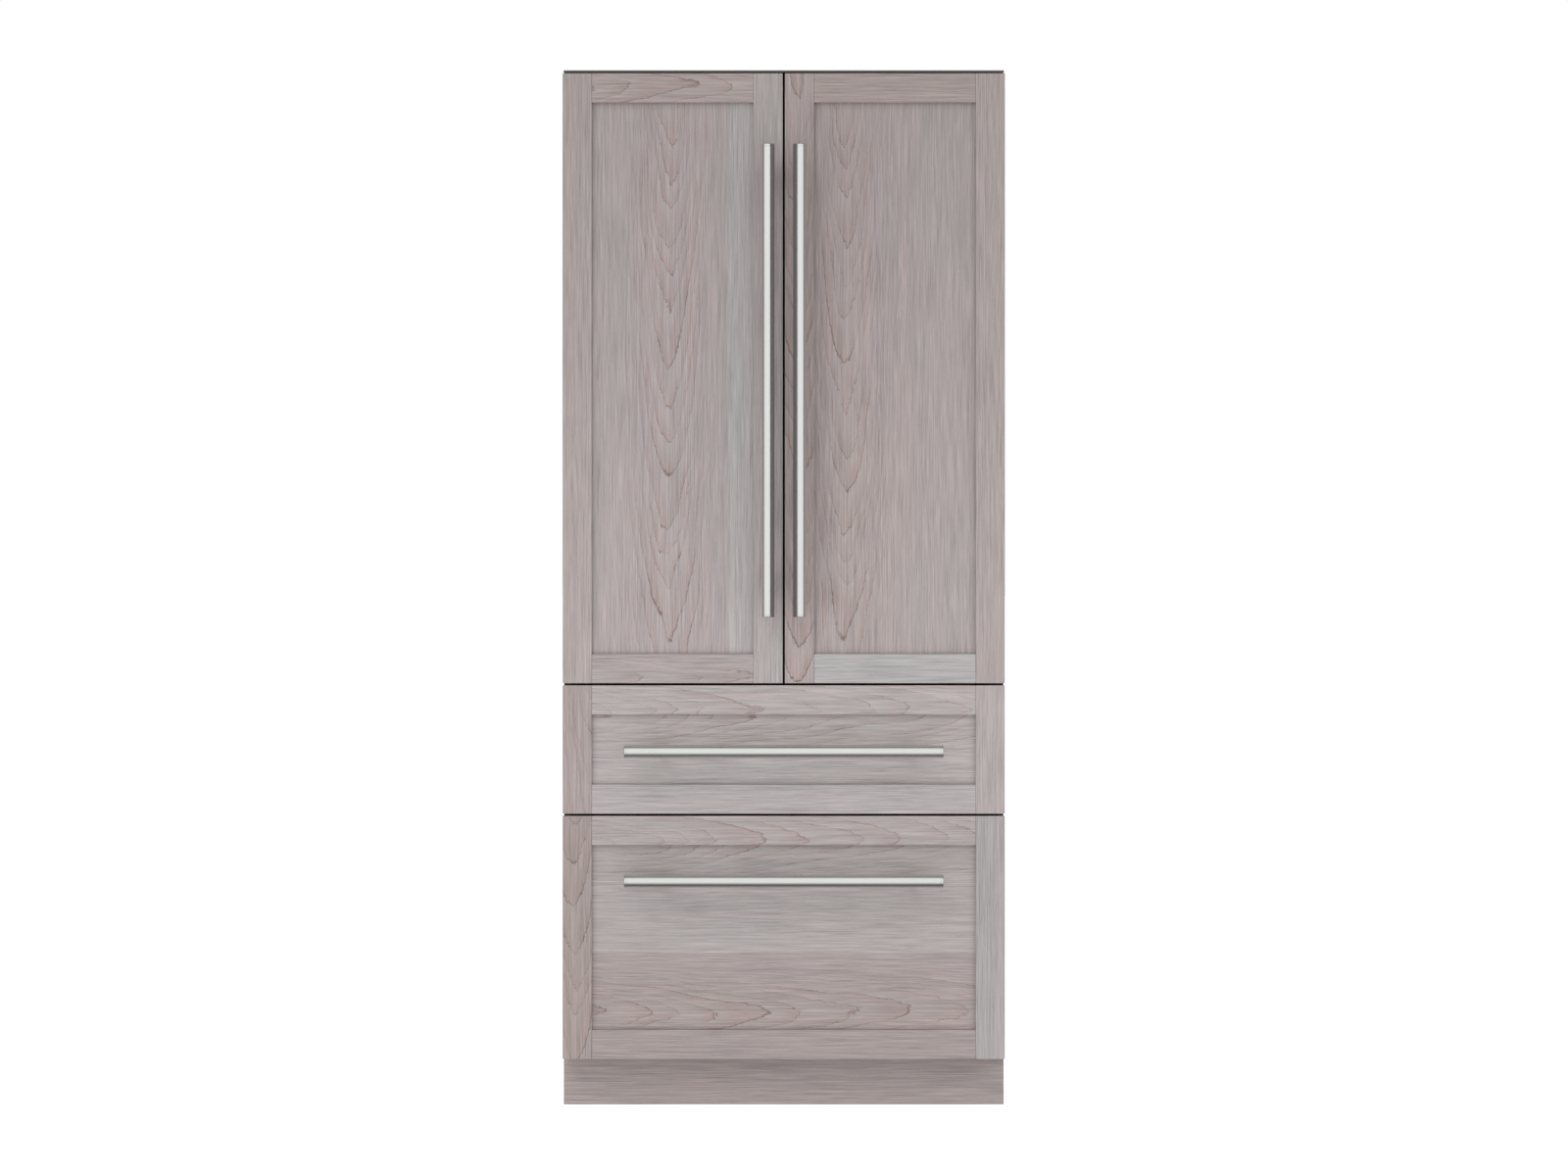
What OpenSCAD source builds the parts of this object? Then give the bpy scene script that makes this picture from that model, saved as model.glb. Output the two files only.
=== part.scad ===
// Built-in refrigerator: two doors over two drawers, behind wooden framed fronts.
// The fronts face -Y, the floor is z = 0, and the origin is under the middle of the whole depth.

/* [Case] */
// Height from the floor to the top of the header trim
total_h = 2134; // [2060:1:2200]
// Width of the steel case
case_w = 902; // [870:1:960]
// Depth of the steel case, from the face frame to the back sheet
case_d = 550; // [540:1:620]
// Thickness of a side wall, from steel to liner
side_wall = 45; // [42:1:55]
// Thickness of the top wall
top_wall = 50; // [44:1:70]
// Thickness of the rear wall
rear_wall = 45; // [38:1:50]
// Thickness of the freezer floor
floor_wall = 50; // [40:1:60]
// Height of the rails between the compartments
rail_h = 72; // [70:1:80]
// Thickness of the case sheet
sheet_t = 1.2; // [0.8:0.1:2]
// Thickness of the plastic liners
liner_t = 2; // [1.5:0.1:3]
// Thickness of the steel face frame
frame_t = 1.5; // [1:0.1:2.5]
// Width of the fixed post that both door seals meet
mullion_w = 56; // [52:1:60]
// Depth of that post
mullion_d = 22; // [16:1:26]

/* [Header trim] */
// Thickness of the header trim
trim_t = 4; // [3:0.5:6]
// Gap between the trim and the doors
trim_gap = 2.5; // [2:0.5:5]
// How far the trim's front edge stays behind the wooden face
trim_setback = 4; // [2:1:12]

/* [Base] */
// Height of the toe kick
kick_h = 100; // [90:1:120]
// How far the toe kick stands behind the wooden face
kick_setback = 75; // [70:1:78]
// Thickness of the toe kick board
kick_t = 18; // [15:1:22]
// Gap between the toe kick and the floor
kick_clear = 0.5; // [0.5:0.5:6]
// Clearance between the base pan and the floor
leg_h = 30; // [26:1:40]
// Radius of a levelling foot's pad
foot_r = 24; // [18:1:30]
// Radius of a levelling foot's stem
stem_r = 7; // [5:1:9]
// Radius of a rear roller
roller_r = 22; // [18:1:26]
// Width of a rear roller
roller_w = 24; // [16:1:30]
// Radius of a roller's axle
axle_r = 4; // [3:0.5:5]

/* [Wooden fronts] */
// How far the fronts stand out past each side of the case
front_overhang = 4; // [2:1:6]
// Gap between neighbouring fronts
front_gap = 4.5; // [3:0.5:6]
// Height of the freezer drawer's front
freezer_front_h = 500; // [480:1:540]
// Height of the middle drawer's front
middle_front_h = 264; // [250:1:300]
// Thickness of the stiles and rails
board_t = 20; // [18:1:24]
// Width of the stiles and rails
stile_w = 60; // [50:1:75]
// How far the field lies behind the frame's face
field_recess = 7; // [5:1:8]
// Thickness of the field
field_t = 8; // [6:1:9]
// Width of the rebate that holds the field
rebate_w = 9; // [7:1:12]

/* [Insulated doors] */
// Thickness of the insulated door behind the wood
core_t = 48; // [44:1:60]
// Thickness of the steel door skin
skin_t = 1.2; // [0.8:0.1:2]
// Margin of the insulated door inside the wood at its sides
core_margin = 3; // [2:1:5]
// Margin of the insulated door inside the wood at its top and bottom
hinge_margin = 14; // [13:1:18]
// Thickness of the seals
gasket_t = 12; // [10:1:14]
// Width of the seals
gasket_w = 14; // [10:1:15]
// How far the rim of a door liner reaches into the case
dike_d = 38; // [25:1:42]
// Width of that rim
dike_w = 14; // [10:1:18]

/* [Door bins] */
// Bins on each door
bin_count = 4; // [3:1:5]
// Height of a door bin
bin_h = 95; // [70:1:120]
// How far a door bin reaches into the case
bin_reach = 93; // [70:1:96]
// Wall of a door bin
bin_wall = 2.5; // [2:0.5:4]

/* [Hinges] */
// Distance from a hinge pin to the wooden front's outer edge
pin_inset = 25; // [22:1:26]
// Distance from a hinge pin back from the wood
pin_setback = 12; // [11:0.5:13]
// Radius of a hinge pin
pin_r = 5; // [4:0.5:6]
// Depth of a pin in its door
pin_depth = 20; // [15:1:24]
// Thickness of a hinge arm
arm_t = 5; // [4:0.5:5.5]
// Radius of the eye round a pin
eye_r = 9; // [8:0.5:10]

/* [Handles] */
// Radius of a handle tube
handle_r = 13.3; // [10:0.1:15]
// Wall of a handle tube
handle_wall = 2; // [1.5:0.5:3]
// Distance from the wooden face to a tube's axis
handle_reach = 51.4; // [42:0.1:70]
// Length of a door handle
door_handle_len = 970; // [800:1:1100]
// Height of a door handle's lower end above the door's lower edge
door_handle_rise = 136; // [100:1:150]
// Length of a drawer handle
drawer_handle_len = 655; // [500:1:750]
// Distance from the middle drawer's upper edge down to its handle
middle_handle_drop = 135; // [110:0.5:150]
// Distance from the freezer drawer's upper edge down to its handle
freezer_handle_drop = 132; // [110:0.5:150]
// Distance from a handle's end to its post
post_inset = 75; // [40:1:100]
// Radius of a handle post
post_r = 8; // [6:0.5:10]

/* [Shelves] */
// Shelf levels above the crispers
shelf_levels = 3; // [2:1:4]
// Thickness of the shelf glass
glass_t = 4; // [3:0.5:6]
// Width of the shelf trim
shelf_trim_w = 14; // [10:1:20]
// Height of the shelf trim
shelf_trim_h = 12; // [9:1:16]
// Gap between door bins and shelves
shelf_clear = 14; // [10:1:30]
// Height of the crisper cover's glass above the fridge floor
cover_rise = 211; // [190:1:240]

/* [Crispers] */
// Wall of a crisper
crisper_wall = 2.5; // [2:0.5:4]
// Travel of a crisper behind a closed door
crisper_travel = 100; // [60:1:100]

/* [Drawers] */
// Free depth behind the middle drawer's slides
middle_slide_clear = 59; // [50:1:90]
// Free depth behind the freezer drawer's slides
freezer_slide_clear = 22; // [18:1:40]
// Wall of the drawer bins
drawer_wall = 3; // [2:0.5:5]
// Height of the freezer bin
freezer_bin_h = 310; // [280:1:330]
// Height of the freezer's sliding tray
tray_h = 82; // [60:1:90]
// Depth of the freezer's sliding tray
tray_d = 210; // [160:1:212]

/* [Machine compartment] */
// Depth of the compartment behind the freezer
machine_d = 165; // [160:1:180]
// Height of the compartment above the floor
machine_h = 300; // [280:1:320]
// Thickness of the insulation round the compartment
hump_wall = 35; // [30:1:40]
// Radius of the compressor
compressor_r = 68; // [60:1:70]
// Radius of the condenser fan
condenser_fan_r = 60; // [50:1:64]
// Radius of the fridge fan
fridge_fan_r = 55; // [40:1:60]
// Radius of the freezer fan
freezer_fan_r = 36; // [30:1:38]
// Thickness of the air duct covers
duct_t = 3; // [2:0.5:4]
// Depth of the air duct behind the fridge's cover
duct_d = 62; // [55:1:70]

/* [Hidden] */
$fn = 48;

// Clearances
seat_gap = 0.2;      // between pieces that rest on each other
run_gap = 0.3;       // between pieces that slide past each other
pin_clear = 0.08;    // round a pin in its bore
joint_gap = 0.1;     // between pieces of one handle
cut = 1;             // how far a cut runs past what it cuts

// Heights, from the floor up
case_top = total_h - trim_t;
freezer_front_z0 = kick_h;
freezer_front_z1 = freezer_front_z0 + freezer_front_h;
middle_front_z0 = freezer_front_z1 + front_gap;
middle_front_z1 = middle_front_z0 + middle_front_h;
door_z0 = middle_front_z1 + front_gap;
door_z1 = case_top - trim_gap;
freezer_z0 = kick_h + floor_wall;
freezer_z1 = freezer_front_z1 + front_gap / 2 - rail_h / 2;
middle_z0 = freezer_z1 + rail_h;
middle_z1 = middle_front_z1 + front_gap / 2 - rail_h / 2;
fridge_z0 = middle_z1 + rail_h;
fridge_z1 = case_top - top_wall;

// Widths, from the middle out
front_w = case_w + 2 * front_overhang;
cavity_x = case_w / 2 - side_wall;
sheet_x = case_w / 2 - sheet_t;
foam_x = cavity_x + liner_t;

// Depths: the face frame's front is y = 0 before the whole is shifted to its origin
core_back_y = -gasket_t;
core_front_y = core_back_y - core_t;
wood_y = core_front_y - board_t;
handle_y = wood_y - handle_reach;
field_y = wood_y + field_recess;
cavity_y = case_d - rear_wall;
machine_y = case_d - machine_d;
hump_y = machine_y - hump_wall;
hump_z = machine_h + hump_wall;
origin_y = -(handle_y - handle_r + case_d) / 2;

// Door, drawn as the left one and mirrored for the right one
door_x0 = -front_w / 2;
door_x1 = -front_gap / 2;
core_x0 = door_x0 + core_margin;
core_x1 = door_x1 - core_margin - run_gap;
core_z0 = door_z0 + hinge_margin;
core_z1 = door_z1 - hinge_margin;
pin_x = door_x0 + pin_inset;
pin_y = core_front_y + pin_setback;
gasket_lap = 20;     // how far a seal's outside reaches over the post's edge
gasket_pin_gap = 2;
door_gasket_x0 = pin_x + gasket_pin_gap;
door_gasket_x1 = -mullion_w / 2 + gasket_lap;
gasket_edge = 3;
dike_side_gap = 8;   // between a door liner's rim and the case's liner, post, cover glass and ceiling
dike_post_gap = 10;
dike_cover_gap = 8;
dike_top_gap = 28;
dike_x0 = -cavity_x + dike_side_gap;
dike_x1 = -mullion_w / 2 - dike_post_gap;
dike_z0 = fridge_z0 + cover_rise + dike_cover_gap;
dike_z1 = fridge_z1 - dike_top_gap;
bin_x0 = dike_x0 + dike_w + run_gap;
bin_side_gap = 4;
bin_x1 = dike_x1 - dike_w - bin_side_gap;
bin_z0 = dike_z0 + dike_w + run_gap;
bin_pitch = (dike_z1 - dike_z0 - dike_w) / bin_count;
door_handle_x = door_x1 - stile_w / 2;
door_handle_z = door_z0 + door_handle_rise;

// Handle caps and bolts
cap_len = 5;
plug_len = 8;
bolt_r = 3;
bolt_head_r = 6;
bolt_head_t = 3;

// Fridge inside
ledge_w = 20;
ledge_h = 8;
ledge_drop = 10;
cover_z = fridge_z0 + cover_rise;
ledge_z = cover_z - glass_t - shelf_trim_h - ledge_drop;
ledge_top = ledge_z + ledge_h;
shelf_y0 = bin_reach + shelf_clear;
duct_y = cavity_y - duct_d;
track_t = 4;
track_w = 18;
slot_w = 4;
slot_h = 14;
slot_pitch = 30;
hook_w = 2.4;
hook_reach = 2.5;
shelf_y1 = duct_y - track_t - run_gap;
shelf_pitch = slot_pitch * round((fridge_z1 - cover_z) / (shelf_levels + 1) / slot_pitch);
shelf_x0 = 12;
shelf_side_gap = 8;
shelf_x1 = cavity_x - shelf_side_gap;
track_inset = 4;
track_xs = [shelf_x0 + track_w / 2 + track_inset, shelf_x1 - track_w / 2 - track_inset];
arm_drop = 34;
arm_w = 3;
flange_t = 3;
flange_w = 9;
crisper_side_gap = 6;
crisper_front_gap = 12;
crisper_rear_gap = 8;
crisper_floor_gap = 4;
crisper_x0 = mullion_w / 2 + run_gap + flange_w;
crisper_x1 = cavity_x - ledge_w - crisper_side_gap;
crisper_y0 = crisper_travel + crisper_front_gap;
crisper_y1 = duct_y - crisper_rear_gap;
crisper_z0 = fridge_z0 + crisper_floor_gap;
flange_z = ledge_top + run_gap;

// Drawer slides: each member's reach in from the liner, then its half height
slide_wall = 1.5;
slide_reach = 10;
slide_half_h = 23;
link_in = 2.2;
link_reach = 10.5;
link_half_h = 19;
runner_in = 5.5;
runner_reach = 12.8;
runner_half_h = 14;
slide_y0 = 6;
middle_slide_len = cavity_y - slide_y0 - middle_slide_clear;
freezer_slide_len = hump_y - slide_y0 - freezer_slide_clear;
bin_half_w = cavity_x - runner_reach - seat_gap;
middle_floor_gap = 9;
middle_top_gap = 14;
freezer_floor_gap = 10;
freezer_slide_rise = 170;
middle_slide_z = (middle_z0 + middle_z1) / 2;
freezer_bin_z0 = freezer_z0 + freezer_floor_gap;
freezer_bin_z1 = freezer_bin_z0 + freezer_bin_h;
freezer_slide_z = freezer_bin_z0 + freezer_slide_rise;
freezer_bin_y1 = slide_y0 + freezer_slide_len + 2;
middle_bin_y1 = slide_y0 + middle_slide_len;
tray_z1 = freezer_bin_z1 + run_gap + flange_t;

// Machine compartment, and the fans
machine_mid_y = (machine_y + case_d) / 2;
compressor_side_gap = 60;
compressor_x = cavity_x - compressor_r - compressor_side_gap;
condenser_fan_x = 20;
duct_mid_y = duct_y + duct_t + (duct_d - duct_t) / 2;
fridge_fan_rise = 190;
fridge_fan_z = cover_z + fridge_fan_rise;
freezer_duct_y = hump_y - duct_t - seat_gap;
freezer_evap_y = (hump_y + cavity_y) / 2;
freezer_fan_gap = 12;
freezer_fan_z = freezer_z1 - freezer_fan_r - freezer_fan_gap;
shaft_r = 3;

module box(x, y, z) {
    translate([x[0], y[0], z[0]]) cube([x[1] - x[0], y[1] - y[0], z[1] - z[0]]);
}

// A rod along Y, from y0 to y1
module rod_y(r, x, z, y0, y1) {
    translate([x, y0, z]) rotate([-90, 0, 0]) cylinder(r = r, h = y1 - y0);
}

// A rod along X, from x0 to x1
module rod_x(r, y, z, x0, x1) {
    translate([x0, y, z]) rotate([0, 90, 0]) cylinder(r = r, h = x1 - x0);
}

// Both sides of the middle plane
module pair() {
    children();
    mirror([1, 0, 0]) children();
}

// A rectangular ring in X and Z, with bars of width w
module ring(x, y, z, w) {
    difference() {
        box(x, y, z);
        box([x[0] + w, x[1] - w], [y[0] - cut, y[1] + cut], [z[0] + w, z[1] - w]);
    }
}

// A tray open at its top
module open_box(x, y, z, wall) {
    difference() {
        box(x, y, z);
        box([x[0] + wall, x[1] - wall], [y[0] + wall, y[1] - wall], [z[0] + wall, z[1] + cut]);
    }
}

// Case

anti_tip_x = 300;
anti_tip_pitch = 60;
anti_tip_inset = 90;
anti_tip_r = 3;
anti_tip_depth = 25;

// Holes for the bracket that ties the case to the wall
module anti_tip_holes(r, depth) {
    for (x = [-anti_tip_x, anti_tip_x])
        for (y = [-anti_tip_pitch / 2, anti_tip_pitch / 2])
            translate([x, case_d - anti_tip_inset + y, case_top - depth])
                cylinder(r = r, h = depth + cut);
}

module outer_case() {
    color("lightgray") difference() {
        box([-case_w / 2, case_w / 2], [frame_t, case_d], [leg_h, case_top]);
        box([-sheet_x, sheet_x], [frame_t - cut, case_d + cut], [leg_h - cut, case_top - sheet_t]);
        box([-case_w / 2 - cut, case_w / 2 + cut], [frame_t - cut, base_y0], [leg_h - cut, kick_h]);
        anti_tip_holes(anti_tip_r, anti_tip_depth);
    }
}

louvre_rows = 9;
louvre_w = 150;
louvre_h = 7;
louvre_inset = 201;
louvre_x = case_w / 2 - louvre_inset;
louvre_rise = 60;
louvre_top_gap = 40;
inlet_inset = 71;
inlet_x = inlet_inset - case_w / 2;
inlet_z = 200;
inlet_cup = [44, 30, 36];
inlet_wall = 3;
inlet_bore = [inlet_cup[0] / 2 - inlet_wall, inlet_cup[2] / 2 - inlet_wall];

// Power inlet behind the machine cover: a cup with three pins, open to the rear
module power_inlet() {
    prong_r = 2.5;
    prong_x = 9;
    prong_depth = 8;
    translate([inlet_x, case_d - sheet_t - seat_gap, inlet_z]) {
        difference() {
            translate([-inlet_cup[0] / 2, -inlet_cup[1], -inlet_cup[2] / 2]) cube(inlet_cup);
            box([-inlet_bore[0], inlet_bore[0]], [inlet_wall - inlet_cup[1], inlet_wall],
                [-inlet_bore[1], inlet_bore[1]]);
        }
        for (p = [[-prong_x, -5], [prong_x, -5], [0, 6]])
            rod_y(prong_r, p[0], p[1], -inlet_cup[1], -prong_depth);
    }
}

module rear_panels() {
    back_y = [case_d - sheet_t, case_d];
    louvre_z0 = leg_h + louvre_rise;
    louvre_pitch = (machine_h - louvre_top_gap - louvre_z0) / louvre_rows;
    color("silver") {
        box([-sheet_x, sheet_x], back_y, [machine_h + seat_gap, case_top - sheet_t]);
        difference() {
            box([-sheet_x, sheet_x], back_y, [leg_h, machine_h - seat_gap]);
            for (x = [-louvre_x, 0, louvre_x])
                for (row = [0 : louvre_rows - 1])
                    translate([x - louvre_w / 2, back_y[0] - cut, louvre_z0 + row * louvre_pitch])
                        cube([louvre_w, sheet_t + 2 * cut, louvre_h]);
            box([inlet_x - inlet_bore[0], inlet_x + inlet_bore[0]], [back_y[0] - cut, back_y[1] + cut],
                [inlet_z - inlet_bore[1], inlet_z + inlet_bore[1]]);
        }
        power_inlet();
    }
}

// Foam slabs, set a hair apart
module insulation() {
    inside_x = [-foam_x + seat_gap, foam_x - seat_gap];
    deep_y = [frame_t, cavity_y + liner_t - seat_gap];
    back_y = case_d - sheet_t;
    color("khaki") {
        pair() box([foam_x, sheet_x], [frame_t, back_y], [kick_h, case_top - sheet_t]);
        difference() {
            box(inside_x, [frame_t, back_y], [fridge_z1 + liner_t, case_top - sheet_t]);
            anti_tip_holes(anti_tip_r + 2, anti_tip_depth);
        }
        box(inside_x, [cavity_y + liner_t, back_y],
            [hump_z - liner_t + seat_gap, fridge_z1 + liner_t - seat_gap]);
        box(inside_x, deep_y, [middle_z1 + liner_t, fridge_z0 - liner_t]);
        box(inside_x, deep_y, [freezer_z1 + liner_t, middle_z0 - liner_t]);
        box(inside_x, [frame_t, machine_y], [kick_h, freezer_z0 - liner_t]);
        box(inside_x, [hump_y + liner_t, machine_y], [freezer_z0 - liner_t + seat_gap, hump_z - liner_t]);
        box(inside_x, [machine_y + seat_gap, back_y], [machine_h, hump_z - liner_t]);
    }
}

// A liner: a shell round a cavity, open at the front
module liner(z) {
    difference() {
        box([-foam_x, foam_x], [frame_t, cavity_y + liner_t], [z[0] - liner_t, z[1] + liner_t]);
        box([-cavity_x, cavity_x], [frame_t - cut, cavity_y], z);
    }
}

module fridge_liner() {
    color("white") liner([fridge_z0, fridge_z1]);
}

module drawer_liners() {
    color("white") {
        liner([middle_z0, middle_z1]);
        difference() {
            liner([freezer_z0, freezer_z1]);
            box([-foam_x - cut, foam_x + cut], [hump_y + liner_t, case_d],
                [freezer_z0 - liner_t - cut, hump_z - liner_t]);
        }
        box([-foam_x, foam_x], [hump_y, hump_y + liner_t], [freezer_z0 - liner_t, hump_z]);
        box([-foam_x, foam_x], [hump_y, cavity_y + liner_t], [hump_z - liner_t, hump_z]);
    }
}

module face_frame() {
    frame_inset = 0.5;
    frame_x = front_w / 2 - frame_inset;
    color("gray") difference() {
        box([-frame_x, frame_x], [0, frame_t], [kick_h, case_top]);
        for (z = [[freezer_z0, freezer_z1], [middle_z0, middle_z1], [fridge_z0, fridge_z1]])
            box([-cavity_x, cavity_x], [-cut, frame_t + cut], z);
    }
}

module centre_mullion() {
    color("gray")
        box([-mullion_w / 2, mullion_w / 2], [0, mullion_d],
            [fridge_z0 + seat_gap, fridge_z1 - seat_gap]);
}

module header_trim() {
    trim_inset = 2;
    trim_on_case = 40;
    trim_x = front_w / 2 - trim_inset;
    color("dimgray") box([-trim_x, trim_x], [wood_y + trim_setback, trim_on_case], [case_top, total_h]);
}

// Base

pan_t = 2;
base_plate_t = 3;
base_rail_w = 25;
base_y0 = wood_y + kick_setback + kick_t + seat_gap;
base_y1 = case_d - sheet_t - seat_gap;
base_x = sheet_x - seat_gap;
over_pan = leg_h + pan_t + seat_gap;
roller_inset = [70, 60];
roller_x = case_w / 2 - roller_inset[0];
roller_y = case_d - roller_inset[1];
ear_t = 4;
ear_x = roller_w / 2 + run_gap;
foot_inset = [60, 70];
foot_x = case_w / 2 - foot_inset[0];
foot_y = base_y0 + foot_inset[1];

// Fork over one rear roller, with its axle
module roller_fork() {
    ear_margin = 6;
    ear_half_d = axle_r + ear_margin;
    roller_clear = 5;
    fork_top = 2 * roller_r + roller_clear + base_plate_t;
    ear_z = [roller_r - axle_r - roller_clear, fork_top];
    for (x = [-ear_x - ear_t, ear_x])
        box([x, x + ear_t], [-ear_half_d, ear_half_d], ear_z);
    box([-ear_x - ear_t, ear_x + ear_t], [-ear_half_d, ear_half_d], [fork_top - base_plate_t, fork_top]);
    rod_x(axle_r, 0, roller_r, -ear_x - ear_t / 2, ear_x + ear_t / 2);
}

// Pan, front plate and side rails, each a sheet-metal piece of its own
module base_frame() {
    roller_gap = 3;
    slot_x = ear_x + ear_t + run_gap;
    slot_y = roller_r + roller_gap;
    pan_z = [leg_h - cut, leg_h + pan_t + cut];
    color("dimgray") {
        difference() {
            box([-base_x, base_x], [base_y0, base_y1], [leg_h, leg_h + pan_t]);
            for (x = [-foot_x, foot_x])
                translate([x, foot_y, pan_z[0]]) cylinder(r = stem_r + run_gap, h = pan_z[1] - pan_z[0]);
            for (x = [-roller_x, roller_x])
                box([x - slot_x, x + slot_x], [roller_y - slot_y, roller_y + slot_y], pan_z);
        }
        box([-base_x, base_x], [base_y0, base_y0 + base_plate_t], [over_pan, kick_h - seat_gap]);
        pair() box([base_x - base_rail_w, base_x], [base_y0 + base_plate_t + seat_gap, base_y1],
                   [over_pan, kick_h - seat_gap]);
        for (x = [-roller_x, roller_x]) translate([x, roller_y, 0]) roller_fork();
    }
}

module rear_rollers() {
    color("black") for (x = [-roller_x, roller_x])
        difference() {
            rod_x(roller_r, roller_y, roller_r, x - roller_w / 2, x + roller_w / 2);
            rod_x(axle_r + pin_clear, roller_y, roller_r, x - roller_w, x + roller_w);
        }
}

module levelling_feet() {
    pad_h = 9;
    nut_h = 8;
    nut_margin = 6;
    stem_over_pan = 40;
    color("black") for (x = [-foot_x, foot_x])
        translate([x, foot_y, 0]) {
            cylinder(r = foot_r, h = pad_h);
            cylinder(r = stem_r, h = leg_h + stem_over_pan);
            translate([0, 0, leg_h - seat_gap - nut_h])
                cylinder(r = stem_r + nut_margin, h = nut_h, $fn = 6);
        }
}

module toe_kick() {
    kick_y = wood_y + kick_setback;
    kick_top_gap = 0.5;
    color("rosybrown")
        box([-front_w / 2, front_w / 2], [kick_y, kick_y + kick_t], [kick_clear, kick_h - kick_top_gap]);
}

// Cooling system

// Fins on tubes along X
module fin_coil(x, y, z, fins, rows) {
    tube_r = 4;
    fin_t = 1.5;
    fin_margin = 16;
    fin_pitch = (x[1] - x[0] - 2 * fin_margin) / (fins - 1);
    pitch = (z[1] - z[0]) / rows;
    mid_y = (y[0] + y[1]) / 2;
    for (i = [0 : fins - 1])
        translate([x[0] + fin_margin + i * fin_pitch - fin_t / 2, y[0], z[0]])
            cube([fin_t, y[1] - y[0], z[1] - z[0]]);
    for (row = [0 : rows - 1])
        rod_x(tube_r, mid_y, z[0] + (row + 0.5) * pitch, x[0] + pitch / 2, x[1] - pitch / 2);
    for (row = [0 : rows - 2])
        translate([row % 2 == 0 ? x[1] - pitch / 2 : x[0] + pitch / 2, mid_y, z[0] + (row + 1) * pitch])
            rotate([90, row % 2 == 0 ? 90 : -90, 0])
                rotate_extrude(angle = 180) translate([pitch / 2, 0]) circle(r = tube_r, $fn = 24);
}

module evaporators() {
    coil_half_w = 210;
    coil_x = [-coil_half_w, coil_half_w];
    coil_duct_gap = 2;
    fridge_coil_rise = 30;
    fridge_coil_h = 210;
    freezer_coil_d = 60;
    freezer_coil_gap = 16;
    color("silver") {
        fin_coil(coil_x, [duct_y + duct_t + coil_duct_gap, cavity_y - run_gap],
                 [fridge_z0 + fridge_coil_rise, fridge_z0 + fridge_coil_rise + fridge_coil_h], 12, 5);
        fin_coil(coil_x, [freezer_evap_y - freezer_coil_d / 2, freezer_evap_y + freezer_coil_d / 2],
                 [hump_z + run_gap, freezer_fan_z - freezer_fan_r - freezer_coil_gap], 12, 3);
    }
}

module condenser() {
    coil_w = 210;
    coil_d = 110;
    coil_top_gap = 40;
    coil_inlet_gap = 18;
    coil_x0 = inlet_x + inlet_cup[0] / 2 + coil_inlet_gap;
    color("dimgray")
        fin_coil([coil_x0, coil_x0 + coil_w], [machine_mid_y - coil_d / 2, machine_mid_y + coil_d / 2],
                 [over_pan, machine_h - coil_top_gap], 10, 5);
}

// Sealed compressor on its rubber feet, with the terminal box on its side
module compressor() {
    body_h = 150;
    dome_h = 30;
    bevel = 6;
    foot_h = 10;
    rubber_r = 10;
    plate_t = 3;
    body_z0 = foot_h + plate_t - 1;
    plate_x = compressor_r + 12;
    plate_y = compressor_r - 8;
    terminal_box = [30, 48, 60];
    color("black") translate([compressor_x, machine_mid_y, over_pan]) {
        rotate_extrude() polygon(concat(
            [[0, body_z0], [compressor_r - bevel, body_z0]],
            [[compressor_r, body_z0 + bevel], [compressor_r, body_h]],
            [for (a = [15 : 15 : 75]) [compressor_r * cos(a), body_h + dome_h * sin(a)]],
            [[0, body_h + dome_h]]));
        box([-plate_x, plate_x], [-plate_y, plate_y], [foot_h, foot_h + plate_t]);
        for (x = [-compressor_r, compressor_r], y = [rubber_r + 2 - plate_y, plate_y - rubber_r - 2])
            translate([x, y, 0]) cylinder(r = rubber_r, h = foot_h - seat_gap);
        box([compressor_r + seat_gap, compressor_r + terminal_box[0]],
            [-terminal_box[1] / 2, terminal_box[1] / 2], [terminal_box[2], 2 * terminal_box[2]]);
    }
}

// Fan with pitched blades, its shaft along +Z
module fan(r, hub_r, depth) {
    blade_t = 1.8;
    blade_w = 1.2 * depth;
    blade_tilt = 40;
    difference() {
        union() {
            cylinder(r = hub_r, h = depth);
            intersection() {
                for (a = [0 : 60 : 300])
                    rotate([0, 0, a]) translate([0, -1, depth / 2]) rotate([blade_tilt, 0, 0])
                        translate([0, -blade_w / 2, -blade_t / 2]) cube([r + cut, blade_w, blade_t]);
                cylinder(r = r, h = depth);
            }
        }
        translate([0, 0, -cut]) cylinder(r = shaft_r + pin_clear, h = depth + 2 * cut);
    }
}

fan_depth = 18;
fan_offset = 8;
fan_foot_gap = 10;
bracket_w = 8;

// Motor that carries a fan, held by arms to a square frame; the fan runs from z = 0 up
module fan_motor(r, depth) {
    back_t = 3;
    back_gap = 4;
    arm = 6;
    motor_r = 16;
    motor_h = 13;
    frame = r + bracket_w;
    translate([0, 0, -back_t - back_gap]) {
        difference() {
            translate([-frame, -frame, 0]) cube([2 * frame, 2 * frame, back_t]);
            translate([0, 0, -cut]) cylinder(r = r, h = back_t + 2 * cut);
        }
        for (a = [45 : 90 : 315]) rotate([0, 0, a]) translate([0, -arm / 2, 0]) cube([r + 4, arm, back_t]);
    }
    translate([0, 0, -motor_h - 1]) cylinder(r = motor_r, h = motor_h);
    translate([0, 0, -motor_h / 2]) cylinder(r = shaft_r, h = motor_h / 2 + depth - 2);
}

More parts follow.
